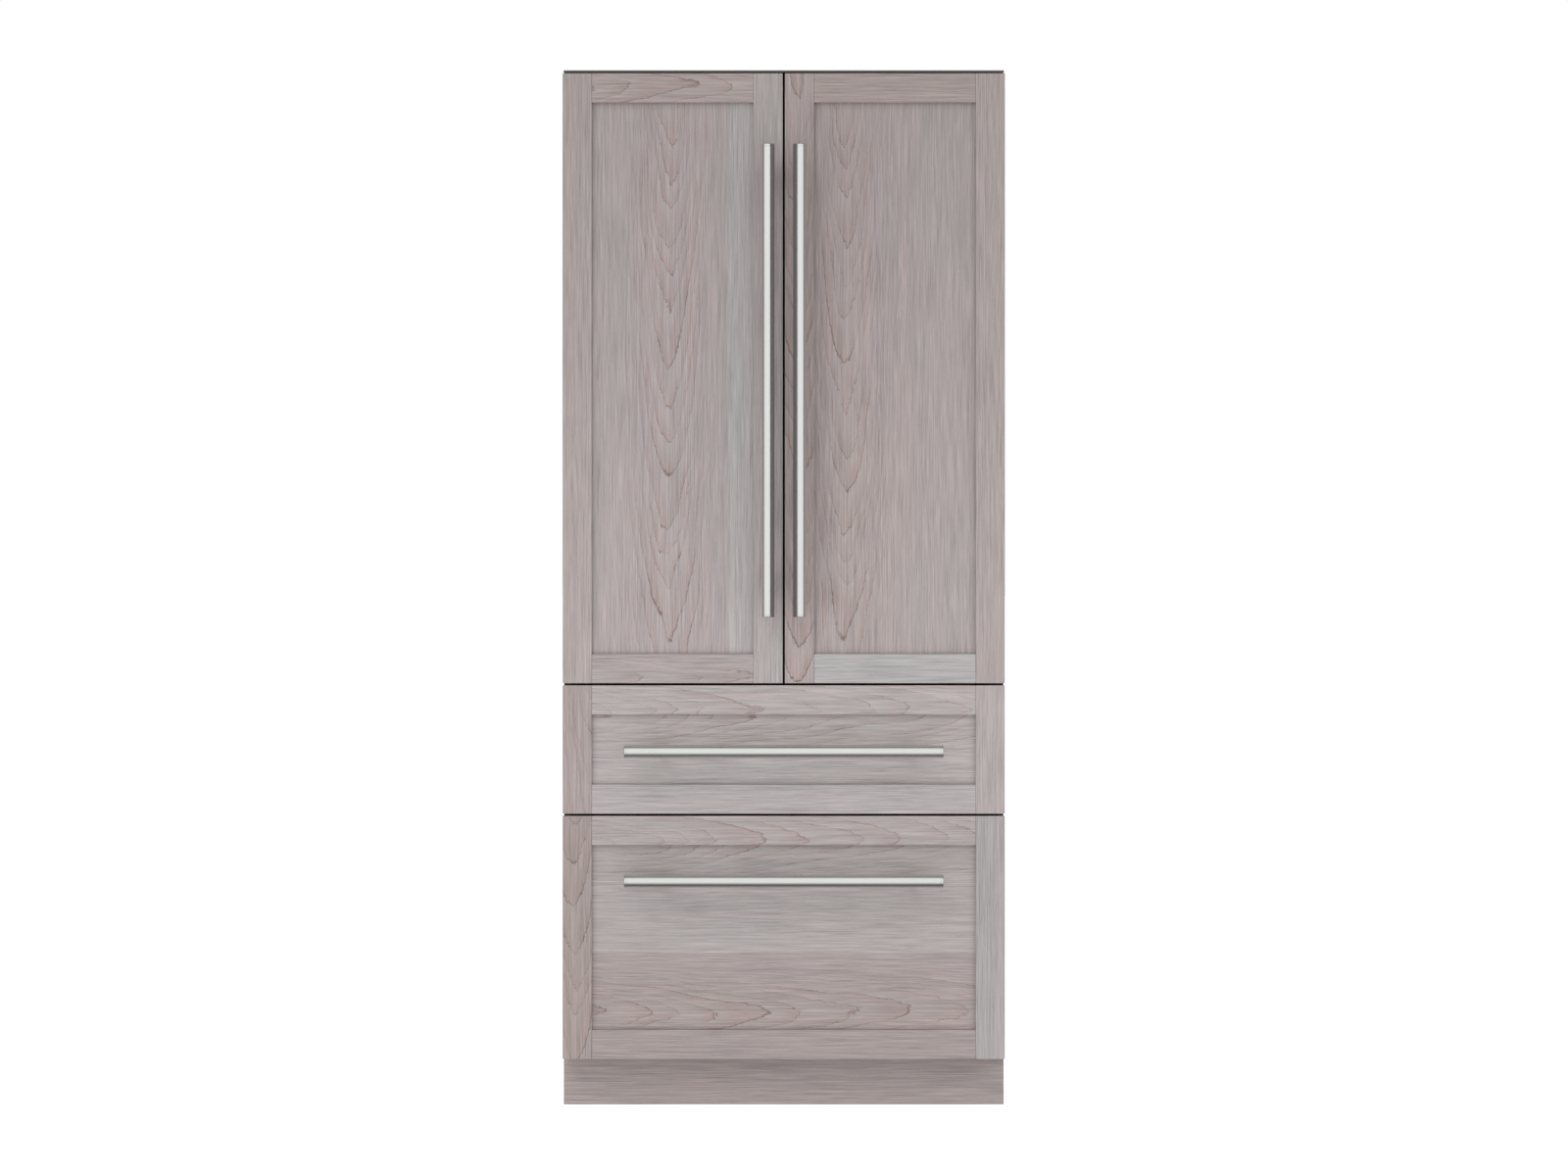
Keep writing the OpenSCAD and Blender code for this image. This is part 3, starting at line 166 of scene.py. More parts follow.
class Finish:
    """A procedural material, or the studio's sky, under construction."""

    def __init__(self, name, kind="Material"):
        library = bpy.data.worlds if kind == "World" else bpy.data.materials
        self.material = library.new(name)
        self.material.use_nodes = True
        self.tree = self.material.node_tree
        self.tree.nodes.clear()
        self.output = self.tree.nodes.new("ShaderNodeOutput" + kind)

    def put(self, socket, value):
        """Sets a socket to a number or colour, or links a Value to it."""
        if isinstance(value, Value):
            self.tree.links.new(value.socket, socket)
        elif isinstance(value, tuple) and len(value) == 3 and socket.type == "RGBA":
            socket.default_value = (*value, 1.0)
        else:
            socket.default_value = value

    def add(self, kind, settings=None, inputs=(), output=0):
        """Adds a node: its settings first, then the values or links of its sockets."""
        node = self.tree.nodes.new("ShaderNode" + kind)
        for key, value in (settings or {}).items():
            setattr(node, key, value)
        pairs = inputs.items() if isinstance(inputs, dict) else enumerate(inputs)
        for key, value in pairs:
            self.put(node.inputs[key], value)
        return Value(self, node.outputs[output])

    def point(self, stretch=(1, 1, 1)):
        """The place on the piece, with each axis stretched."""
        place = self.add("TexCoord", output="Object")
        return self.add("VectorMath", {"operation": "MULTIPLY"}, (place, stretch))

    def join(self, x, y, z):
        return self.add("CombineXYZ", inputs=(x, y, z))

    def split(self, vector):
        node = self.add("SeparateXYZ", inputs=(vector,)).socket.node
        return [Value(self, out) for out in node.outputs]

    def attribute(self, name):
        return self.add("Attribute", {"attribute_name": name}, output="Vector")

    def noise(self, vector, scale=1.0, detail=2.0, roughness=0.5):
        return self.add(
            "TexNoise",
            inputs={"Vector": vector, "Scale": scale, "Detail": detail, "Roughness": roughness},
        )

    def mix(self, first, second, factor):
        """A blend of two colours; the Mix node's colour sockets are told apart by number."""
        return self.add("Mix", {"data_type": "RGBA"}, {0: factor, 6: first, 7: second}, output=2)

    def scaled(self, colour, share):
        return self.add("VectorMath", {"operation": "SCALE"}, {0: colour, "Scale": share})

    def bump(self, height, distance, strength):
        return self.add("Bump", inputs={"Height": height, "Distance": distance, "Strength": strength})

    def shade(self, **sockets):
        """Ends the material in one Principled shader; names use _ for a space."""
        inputs = {name.replace("_", " "): value for name, value in sockets.items()}
        surface = self.add("BsdfPrincipled", inputs=inputs)
        self.tree.links.new(surface.socket, self.output.inputs["Surface"])
        return self.material


def washed_wood():
    """Grey-washed wood cut from a log whose pith runs beside the board.

    The grain attribute holds, in metres, a point's place across the pith, its depth
    from the pith, and its place along the grain. The tone attribute holds the board's
    warmth, its lightness with painted light and shade that make it lighter towards the
    bottom and darker towards the top, and how strongly its growth lines show. The two
    inset attributes hold a point's distances from the frame round a recessed field, along
    whose edges shade is painted into the wash, its distance inward from the board's face,
    and a number of the board's own."""
    wood = Finish("washed_wood")
    across, depth, along = wood.split(wood.attribute("grain"))
    warmth, lightness, figure = wood.split(wood.attribute("tone"))
    from_left, inward, from_bottom = wood.split(wood.attribute("inset_low"))
    from_right, seed, from_top = wood.split(wood.attribute("inset_high"))

    def drawn_out(beside, behind, fine, coarse, **settings):
        """Noise that is fine across the grain and drawn out along it."""
        return wood.noise(wood.join(beside * fine, behind * fine, along * coarse), **settings)

    # Growth rings round a pith that sways along the log
    sway = (wood.noise(wood.join(along * 4.5, seed, depth * 2), detail=1) - 0.5) * 0.034
    straight = across + sway * 0.15
    across = across + sway
    wander = drawn_out(across, depth, 9, 3) - 0.5
    ragged = drawn_out(across, depth, 120, 42, detail=3, roughness=0.62) - 0.5
    pith = (across ** 2 + depth ** 2) ** 0.5
    ring = pith + across.magnitude() * 0.05 + wander * 0.014 + ragged * 0.0026
    year = ring / RING_STEP + wood.noise(wood.join(ring * 75, 0.0, 0.0), detail=1) * 2.4
    phase = year.fraction()
    ended = 1 - phase.rise(0.975, 1.0)
    core = phase.rise(0.915, 0.970) * ended
    glow = phase.rise(0.10, 0.97) * ended

    # The lines show most over the pith, and break here and there
    heart = 1 - across.magnitude().rise(0.035, 0.105)
    broken = drawn_out(across, depth, 38, 8).rise(0.36, 0.60)
    shown = figure * (heart * 0.78 + 0.22) * (broken * 0.65 + 0.35)

    fibre = drawn_out(straight, inward, 380, 8, detail=4, roughness=0.74) - 0.5
    streak = drawn_out(straight, inward, 120, 1.5, detail=3, roughness=0.66) - 0.5
    cloud = drawn_out(straight, inward, 22, 1.6) - 0.5
    fleck = drawn_out(straight, inward, 600, 50, detail=1).rise(0.68, 0.80)

    # Painted shade: the field darkens along the frame round its recess, most below the upper rail, less
    # beside the stiles, least above the lower rail
    beside = from_left.rise(0, PAINTED_SHADE_BESIDE) * from_right.rise(0, PAINTED_SHADE_BESIDE)
    below, above = from_top.rise(0, PAINTED_SHADE_BELOW), from_bottom.rise(0, PAINTED_SHADE_ABOVE)
    painted_recess_shade = 0.24 - beside * 0.08 - below * 0.12 - above * 0.04

    hue = warmth + cloud * 0.4 + streak * 0.6 + glow * shown * 0.5
    stain = wood.mix((0.346, 0.338, 0.344), (0.385, 0.312, 0.296), hue)
    shade = lightness * (1 + fibre * 1.5 + streak * 0.42 + cloud * 0.14 - glow * shown * 0.11)
    body = wood.scaled(stain, shade * (1 - painted_recess_shade))
    lined = wood.mix(body, (0.135, 0.082, 0.070), core * shown * 0.72)
    colour = wood.mix(lined, (0.160, 0.115, 0.104), fleck * 0.30)
    relief = fibre * 0.6 - core * shown * 0.8 - fleck * 0.8
    return wood.shade(
        Base_Color=colour,
        Roughness=0.52 + fibre * 0.12 + glow * 0.03,
        Normal=wood.bump(relief, 0.00012, 0.5),
        Specular_IOR_Level=0.3,
    )


def brushed_steel(name, colour, stretch, rough=0.26):
    """Satin steel with brush marks that are drawn out along the axis of the smallest stretch."""
    steel = Finish(name)
    marks = steel.noise(steel.point(stretch), detail=4, roughness=0.7)
    cloud = steel.noise(steel.point((9, 9, 9)))
    tint = steel.mix(colour, tuple(c * 0.86 for c in colour), marks * 0.6 + cloud * 0.4)
    return steel.shade(
        Base_Color=tint,
        Metallic=1.0,
        Roughness=rough - 0.05 + marks * 0.10,
        Normal=steel.bump(marks, 0.000012, 0.35),
    )


def coated(name, colour, rough, grain=900, depth=0.00002, metallic=0.0, spread=0.10, coat=0.0):
    """Paint, enamel or moulded plastic: fine orange peel, and a slow drift of tone and gloss."""
    paint = Finish(name)
    peel = paint.noise(paint.point(), scale=grain)
    cloud = paint.noise(paint.point(), scale=6, detail=3)
    dark = tuple(c * (1 - spread) for c in colour)
    tint = paint.mix(colour, dark, cloud * 0.7 + peel * 0.3)
    return paint.shade(
        Base_Color=tint,
        Metallic=metallic,
        Roughness=rough - 0.05 + cloud * 0.07 + peel * 0.03,
        Normal=paint.bump(peel, depth, 0.4),
        Coat_Weight=coat,
    )


def clear(name, tint, rough, body, edge):
    """Clear glass or plastic: it hides little face on, and more where it is seen edge on."""
    glass = Finish(name)
    cloud = glass.noise(glass.point(), scale=14)
    slant = glass.add("LayerWeight", inputs={"Blend": 0.5}, output="Facing")
    return glass.shade(
        Base_Color=glass.mix(tint, tuple(c * 0.9 for c in tint), cloud),
        Roughness=rough + cloud * 0.03,
        Alpha=slant ** 3 * edge + body,
    )


def foamed():
    """Rigid foam: pale yellow with small cells."""
    foam = Finish("rigid_foam")
    cells = foam.add("TexVoronoi", inputs={"Vector": foam.point(), "Scale": 420.0})
    cloud = foam.noise(foam.point(), scale=25, detail=3)
    return foam.shade(
        Base_Color=foam.mix((0.78, 0.68, 0.42), (0.62, 0.52, 0.29), cells * 0.6 + cloud * 0.4),
        Roughness=0.85 + cloud * 0.1,
        Normal=foam.bump(cells, 0.0004, 0.6),
    )


def lit_lens():
    """Frosted lens over a row of small lamps, lit."""
    lens = Finish("light_lens")
    ribs = lens.noise(lens.point((40, 40, 260)), detail=1)
    return lens.shade(
        Base_Color=lens.mix((0.86, 0.87, 0.86), (0.74, 0.76, 0.76), ribs),
        Roughness=0.34 + ribs * 0.1,
        Normal=lens.bump(ribs, 0.0002, 0.4),
        Emission_Color=(1.0, 0.955, 0.88),
        Emission_Strength=6.0,
    )


WOOD = washed_wood()
BAR_STEEL_Z = brushed_steel("satin_bar_upright", (0.82, 0.82, 0.805), (900, 900, 6))
BAR_STEEL_X = brushed_steel("satin_bar_level", (0.80, 0.80, 0.785), (6, 900, 900))
SLIDE_STEEL = brushed_steel("zinc_plate", (0.62, 0.63, 0.64), (300, 30, 300), 0.36)
HINGE_STEEL = brushed_steel("hinge_plate", (0.55, 0.56, 0.57), (240, 240, 240), 0.34)
ALUMINIUM = brushed_steel("coil_aluminium", (0.80, 0.81, 0.82), (500, 500, 20), 0.30)
CASE_COAT = coated("case_coat", (0.56, 0.57, 0.58), 0.42, grain=1400)
REAR_COAT = coated("rear_galvanised", (0.52, 0.53, 0.54), 0.46, grain=160, metallic=0.6, spread=0.22)
FACE_COAT = coated("face_frame_coat", (0.014, 0.013, 0.013), 0.50)
DOOR_COAT = coated("door_skin_coat", (0.022, 0.021, 0.021), 0.46, grain=1400)
HEADER_COAT = coated("header_enamel", (0.115, 0.112, 0.105), 0.36, metallic=0.3)
BASE_COAT = coated("base_coat", (0.115, 0.118, 0.122), 0.48, grain=500)
LINER_WHITE = coated("liner_white", (0.82, 0.825, 0.82), 0.24, grain=260, depth=0.00003, spread=0.04)
TRIM_WHITE = coated("trim_white", (0.76, 0.77, 0.77), 0.34, grain=500, spread=0.06)
PANEL_GREY = coated("panel_grey", (0.13, 0.135, 0.14), 0.28, grain=700)
MOTOR_BLACK = coated("motor_plastic", (0.045, 0.047, 0.05), 0.50)
FAN_WHITE = coated("fan_plastic", (0.62, 0.63, 0.63), 0.42)
ENAMEL_BLACK = coated("compressor_enamel", (0.018, 0.018, 0.019), 0.22, grain=300, depth=0.00005, coat=0.4)
CONDENSER_BLACK = coated("condenser_enamel", (0.035, 0.035, 0.037), 0.40)
TYRE_BLACK = coated("moulded_rubber", (0.028, 0.028, 0.029), 0.68, grain=1200, depth=0.00006)
SEAL_DARK = coated("seal_vinyl", (0.022, 0.022, 0.023), 0.55, grain=1200, depth=0.00004)
SCREW_STEEL = brushed_steel("zinc_screws", (0.60, 0.61, 0.62), (400, 400, 400), 0.30)
BAND_STEEL = brushed_steel("satin_bin_band", (0.70, 0.71, 0.715), (8, 600, 600), 0.30)
KEY_GREY = coated("key_grey", (0.42, 0.43, 0.44), 0.34)
FOAM = foamed()
LENS = lit_lens()
SHELF_GLASS = clear("shelf_glass", (0.16, 0.23, 0.21), 0.02, 0.10, 0.62)
BIN_CLEAR = clear("clear_plastic", (0.62, 0.66, 0.68), 0.05, 0.13, 0.55)


def cover(piece, finish):
    """Gives a piece its one material."""
    piece.data.materials.clear()
    piece.data.materials.append(finish)


# CAD nodes that show in their own shape
for node, finish in {
    "insulation": FOAM,
    "left_door_foam": FOAM,
    "right_door_foam": FOAM,
    "middle_drawer_foam": FOAM,
    "freezer_drawer_foam": FOAM,
    "condenser": CONDENSER_BLACK,
    "evaporators": ALUMINIUM,
}.items():
    cover(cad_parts[node], finish)


# Pieces

def new_object(name, data):
    """A new object in the scene, with its mesh, lamp or lens."""
    made = bpy.data.objects.new(name, data)
    bpy.context.scene.collection.objects.link(made)
    return made


def shaped(name, shape):
    """A new object from a shape under construction."""
    mesh = bpy.data.meshes.new(name)
    shape.normal_update()
    shape.to_mesh(mesh)
    shape.free()
    return new_object(name, mesh)


def block(name, low, high):
    """A plain block, which cutters and bevels then work on."""
    shape = bmesh.new()
    bmesh.ops.create_cube(shape, size=1)
    low, high = Vector(low), Vector(high)
    for vert in shape.verts:
        vert.co = [low[i] + (vert.co[i] + 0.5) * (high[i] - low[i]) for i in range(3)]
    return shaped(name, shape)


def turns(sides):
    """The angles of a round loop's points."""
    return [2 * math.pi * i / sides for i in range(sides)]


def rod_y(shape, radius, x, z, y0, y1):
    """A closed rod along Y in a mesh under construction."""
    sides = 32
    rings = [
        [shape.verts.new((x + radius * math.cos(t), y, z + radius * math.sin(t))) for t in turns(sides)]
        for y in (y0, y1)
    ]
    for i in range(sides):
        j = (i + 1) % sides
        shape.faces.new((rings[0][i], rings[1][i], rings[1][j], rings[0][j]))
    shape.faces.new(rings[0])
    shape.faces.new(reversed(rings[1]))


def baked(piece):
    """The piece with its modifiers worked into its mesh."""
    graph = bpy.context.evaluated_depsgraph_get()
    mesh = bpy.data.meshes.new_from_object(piece.evaluated_get(graph))
    piece.modifiers.clear()
    old, piece.data = piece.data, mesh
    bpy.data.meshes.remove(old)
    mesh.name = piece.name
    return piece


def cut_away(piece, cutter):
    """Takes the cutter's shape out of the piece, once the piece is baked."""
    step = piece.modifiers.new("cut", "BOOLEAN")
    step.operation, step.solver, step.object = "DIFFERENCE", "EXACT", cutter


def ease(piece, width):
    """Rounds the edges; a smooth-shaded piece keeps its flat faces flat."""
    step = piece.modifiers.new("ease", "BEVEL")
    step.width, step.segments = width, 2
    step.limit_method, step.angle_limit = "ANGLE", EASE_OVER
    step.harden_normals = piece.data.polygons[0].use_smooth


def dress(piece, body, slot, finish, *nodes):
    """Finishes a piece: its material, its body, and the CAD nodes it stands for. The slot is not used."""
    cover(piece, finish)
    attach(piece, body)
    if nodes:
        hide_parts(*nodes)


def smooth(piece, crisp=ROUND_CRISP):
    """Shades the piece smooth, but for edges sharper than crisp."""
    piece.data.shade_smooth()
    piece.data.set_sharp_from_angle(angle=math.radians(crisp))
    return piece


# Copies of the CAD solids with merged, eased and smooth-shaded surfaces

def finished_copy(node, body, slot, finish, ease_width=0.0, crisp=ROUND_CRISP, keep=None, name=None):
    """The CAD node's own shape, merged, with eased edges; keep picks the solids by their points."""
    merge_within, flat_within = 0.000001, math.radians(1)
    name = name or f"{node}_finished"
    shape = bmesh.new()
    shape.from_mesh(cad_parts[node].data)
    bmesh.ops.remove_doubles(shape, verts=shape.verts, dist=merge_within)
    if keep:
        bmesh.ops.delete(shape, geom=[v for v in shape.verts if not keep(v.co)], context="VERTS")
    bmesh.ops.dissolve_limit(
        shape, angle_limit=flat_within, verts=shape.verts, edges=shape.edges, delimit={"NORMAL"})
    piece = smooth(shaped(name, shape), crisp)
    if ease_width:
        ease(piece, ease_width)
        baked(piece)
    dress(piece, body, slot, finish, node)


# Repeated shapes

def repeat_tree():
    """Geometry nodes that repeat a shape over columns and rows, and give it its finish."""
    tree = bpy.data.node_groups.new("repeat_over_grid", "GeometryNodeTree")
    sockets = {}
    for label, kind in (("Shape", "Geometry"), ("Columns", "Int"), ("Rows", "Int"),
                        ("Column step", "Vector"), ("Row step", "Vector"), ("Finish", "Material")):
        made = tree.interface.new_socket(label, in_out="INPUT", socket_type="NodeSocket" + kind)
        sockets[label] = made.identifier
    tree.interface.new_socket("Shapes", in_out="OUTPUT", socket_type="NodeSocketGeometry")
    given = tree.nodes.new("NodeGroupInput").outputs
    shape = given["Shape"]
    for count, step in (("Columns", "Column step"), ("Rows", "Row step")):
        line = tree.nodes.new("GeometryNodeMeshLine")
        tree.links.new(given[count], line.inputs["Count"])
        tree.links.new(given[step], line.inputs["Offset"])
        placed = tree.nodes.new("GeometryNodeInstanceOnPoints")
        tree.links.new(line.outputs[0], placed.inputs["Points"])
        tree.links.new(shape, placed.inputs["Instance"])
        real = tree.nodes.new("GeometryNodeRealizeInstances")
        tree.links.new(placed.outputs[0], real.inputs[0])
        shape = real.outputs[0]
    coat = tree.nodes.new("GeometryNodeSetMaterial")
    tree.links.new(shape, coat.inputs["Geometry"])
    tree.links.new(given["Finish"], coat.inputs["Material"])
    tree.links.new(coat.outputs[0], tree.nodes.new("NodeGroupOutput").inputs[0])
    return tree, sockets


REPEAT, REPEAT_SOCKETS = repeat_tree()


def repeated(piece, finish, columns=1, rows=1, column_step=(0, 0, 0), row_step=(0, 0, 0)):
    """The piece's shape repeated over a grid, as one plain mesh."""
    step = piece.modifiers.new("repeat", "NODES")
    step.node_group = REPEAT
    for label, value in {"Columns": columns, "Rows": rows, "Column step": column_step,
                         "Row step": row_step, "Finish": finish}.items():
        step[REPEAT_SOCKETS[label]] = value
    return baked(piece)


# Lofted shapes

def rounded_rectangle(a_span, b_span, inset, radius):
    """Points round a rectangle with rounded corners, drawn in by the inset."""
    (a0, a1), (b0, b1) = ((start + inset, end - inset) for start, end in (a_span, b_span))
    steps = 5
    points = []
    for a, b, start in ((a1 - radius, b1 - radius, 0), (a0 + radius, b1 - radius, 90),
                        (a0 + radius, b0 + radius, 180), (a1 - radius, b0 + radius, 270)):
        for i in range(steps + 1):
            t = math.radians(start + 90 * i / steps)
            points.append((a + radius * math.cos(t), b + radius * math.sin(t)))
    return points


def loft(shape, loops, ring=False):
    """Faces between one loop of points and the next; a ring joins the last to the first."""
    rows = [[shape.verts.new(point) for point in loop] for loop in loops]
    pairs = list(zip(rows, rows[1:]))
    if ring:
        pairs.append((rows[-1], rows[0]))
    else:
        shape.faces.new(reversed(rows[0]))
        shape.faces.new(rows[-1])
    for first, second in pairs:
        for i in range(len(first)):
            j = (i + 1) % len(first)
            shape.faces.new((first[i], first[j], second[j], second[i]))


def closed(name, shape, crisp=ROUND_CRISP):
    """The piece of a closed shape, its faces turned outwards."""
    bmesh.ops.recalc_face_normals(shape, faces=shape.faces)
    return smooth(shaped(name, shape), crisp)


def lofted(name, *lofts, crisp=ROUND_CRISP, ring=False):
    """A piece of one loft or more, each given by its loops."""
    shape = bmesh.new()
    for loops in lofts:
        loft(shape, loops, ring)
    return closed(name, shape, crisp)


def level_loops(x, y, stops):
    """Level loops, from (z, inset, radius) stops."""
    return [[(a, b, z) for a, b in rounded_rectangle(x, y, i, r)] for z, i, r in stops]


def facing_loops(x, z, stops):
    """Loops in the plane of a door, from (y, inset, radius) stops."""
    return [[(a, y, b) for a, b in rounded_rectangle(x, z, i, r)] for y, i, r in stops]


def tub(low, high, wall, corner, base, draft, lip=0.0):
    """The loops of an open moulded tub with rounded corners and base, drafted walls and, if asked, a lip."""
    (x0, y0, z0), (x1, y1, z1) = low, high
    outer_foot, lip_h = lip + draft, 0.007
    stops = [(z0, outer_foot + base), (z0 + 0.13 * base, outer_foot + 0.5 * base),
             (z0 + 0.5 * base, outer_foot + 0.13 * base), (z0 + base, outer_foot)]
    if lip:
        stops += [(z1 - lip_h, lip), (z1 - lip_h, 0.0004), (z1 - lip_h + 0.0004, 0)]
    stops += [(z1 - 0.0008, 0), (z1 - 0.0002, 0.0003), (z1, 0.0009), (z1, lip + wall - 0.0007),
              (z1 - 0.0007, lip + wall), (z0 + wall + base, outer_foot + wall),
              (z0 + wall + 0.4 * base, outer_foot + wall + 0.12 * base),
              (z0 + wall, outer_foot + wall + 0.6 * base)]
    return level_loops((x0, x1), (y0, y1), [(z, i, max(corner - i, 0.002)) for z, i in stops])


# Bolts and screws

def bolt(x, z, y_tip, y_seat, y_head):
    """The loops of a socket-head bolt along Y, its head towards the door's inside."""
    thread_r, head_r, socket_r = 0.00285, 0.0060, 0.0024

    def loop(y, radius, hexagon=False):
        """Points round the bolt; a hexagon's flats lie at the radius."""
        points = []
        for t in turns(24):
            r = radius / math.cos((t + math.pi / 6) % (math.pi / 3) - math.pi / 6) if hexagon else radius
            points.append((x + r * math.cos(t), y, z + r * math.sin(t)))
        return points

    return [
        loop(y_tip, 0.0022), loop(y_tip + 0.0006, thread_r), loop(y_seat, thread_r), loop(y_seat, head_r),
        loop(y_head - 0.0004, head_r), loop(y_head, 0.0056), loop(y_head, socket_r, True),
        loop(y_head - 0.0016, socket_r, True),
    ]


def screw_head(centre, out, radius, height):
    """The loops of a low round screw head with a cross recess, standing out along X or Y."""
    sign = 1 if sum(out) > 0 else -1

    def loop(rise, share, cross=0.0):
        """Points at a share of the radius, drawn in between the arms of a cross."""
        points = []
        for t in turns(24):
            r = radius * share * (1 - cross * math.sin(2 * t) ** 2)
            a, b = r * math.cos(t), r * math.sin(t)
            if out[0]:
                points.append((centre[0] + sign * rise, centre[1] + a, centre[2] + b))
            else:
                points.append((centre[0] + a, centre[1] + sign * rise, centre[2] + b))
        return points

    return [
        loop(-0.0004, 1.0), loop(height * 0.35, 1.0), loop(height * 0.8, 0.82), loop(height, 0.62),
        loop(height, 0.50, 0.62), loop(height * 0.25, 0.42, 0.62),
    ]


def case_screws(name, centre, out, radius, height, columns, rows, column_step, row_step):
    """A grid of screws on the case, from its first one's centre."""
    screw = lofted(name, screw_head(centre, out, radius, height))
    repeated(screw, SCREW_STEEL, columns, rows, column_step, row_step)
    dress(screw, "cabinet", "case_steel", SCREW_STEEL)


# Wood

def lay_grain(mesh, upright, face_y, log, window):
    """Writes each point's place in the log and in the window round which shade is painted, and the board's
    tone with its painted light and shade, as attributes.
    """
    centre, depth, slope, warmth, lightness, figure = log
    grain, tone, inset_low, inset_high = (
        mesh.attributes.new(name, "FLOAT_VECTOR", "POINT")
        for name in ("grain", "tone", "inset_low", "inset_high")
    )
    seed = 17 * centre + 9 * depth  # sets one board's wood apart from another's
    for i, vert in enumerate(mesh.vertices):
        x, y, z = vert.co
        along, across = (z, x) if upright else (x, z)
        pith_depth = depth + slope * along + (y - face_y)
        grain.data[i].vector = (across - centre, pith_depth, along + seed)
        # Painted light and shade: the board's lightness grows towards the bottom and falls towards the top
        tone.data[i].vector = (warmth, lightness * (1 - PAINTED_LIGHT_FADE * (z - PAINTED_LIGHT_LEVEL)), figure)
        inset_low.data[i].vector = (x - window[0], y - face_y, z - window[1])
        inset_high.data[i].vector = (window[2] - x, seed, window[3] - z)


def board(name, body, slot, box, upright, log, node, pocket=None, bolts=None, width=EDGE_EASE,
          window=NO_WINDOW):
    """A board of washed wood; the pocket is cut before its edges are eased, the bolt holes after."""
    piece = block(name, *box)
    if pocket:
        cut_away(piece, pocket)
    if width:
        ease(piece, width)
    if bolts:
        cut_away(piece, bolts)
    baked(piece)
    lay_grain(piece.data, upright, box[0][1], log, window)
    dress(piece, body, slot, WOOD, node)


def seating(upright):
    """How far behind a front's face the handle's posts bear, and how much wood its bolts clamp."""
    return (0, DOOR_GRIP) if upright else (FIELD_RECESS + SEAT_GAP, FIELD_T)


def bolt_cutter(spots, seat_y, grip, face_y, back_y):
    """Bolt holes through a front, with room for the heads behind."""
    shape = bmesh.new()
    for x, z in spots:
        rod_y(shape, BOLT_HOLE_R, x, z, face_y - 0.001, back_y + 0.001)
        rod_y(shape, BOLT_HEAD_ROOM_R, x, z, seat_y + grip, back_y + 0.0015)
    return shaped("bolt_cutter", shape)


def framed_front(leaf, boards, planks, spots):
    """Two stiles, two rails and the field's planks, with the rebate and the bolt holes cut."""
    node, upright = f"{leaf}_front", leaf.endswith("door")
    low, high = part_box(node)
    x0, x1, z0, z1 = low.x, high.x, low.z, high.z
    face_y, back_y = low.y, high.y
    rebate_y = face_y + FIELD_RECESS
    in_x0, in_x1 = x0 + STILE_W, x1 - STILE_W
    in_z0, in_z1 = z0 + STILE_W, z1 - STILE_W
    pocket = block(
        "pocket_cutter",
        (in_x0 - REBATE_W, rebate_y, in_z0 - REBATE_W),
        (in_x1 + REBATE_W, back_y + 0.002, in_z1 + REBATE_W),
    )
    seat_recess, grip = seating(upright)
    bolts = bolt_cutter(spots, face_y + seat_recess, grip, face_y, back_y)
    for part, box in {
        "left_stile": ((x0, face_y, z0), (in_x0, back_y, z1)),
        "right_stile": ((in_x1, face_y, z0), (x1, back_y, z1)),
        "lower_rail": ((in_x0 + SEAT_GAP, face_y, z0), (in_x1 - SEAT_GAP, back_y, in_z0)),
        "upper_rail": ((in_x0 + SEAT_GAP, face_y, in_z1), (in_x1 - SEAT_GAP, back_y, z1)),
    }.items():
        board(f"{leaf}_{part}", leaf, "front_wood", box, part.endswith("stile"), boards[part], node,
              pocket, bolts)

    def tucked(start, end):
        """The field's ends in the rebate, with a hair of room."""
        return start - REBATE_W + SEAT_GAP, end + REBATE_W - SEAT_GAP

    across, along = (tucked(in_x0, in_x1), tucked(in_z0, in_z1))
    if not upright:
        across, along = along, across
    joints = [across[0], *(start for start, _ in planks[1:]), across[1]]
    field_y0, field_y1 = rebate_y + SEAT_GAP, rebate_y + SEAT_GAP + FIELD_T
    for i, (_, log) in enumerate(planks):
        x, z = ((joints[i], joints[i + 1]), along) if upright else (along, (joints[i], joints[i + 1]))
        box = ((x[0], field_y0, z[0]), (x[1], field_y1, z[1]))
        board(f"{leaf}_field_plank_{i + 1}", leaf, "front_wood", box, upright, log, node,
              bolts=bolts, width=0, window=(in_x0, in_z0, in_x1, in_z1))
    for cutter in (pocket, bolts):
        bpy.data.objects.remove(cutter)


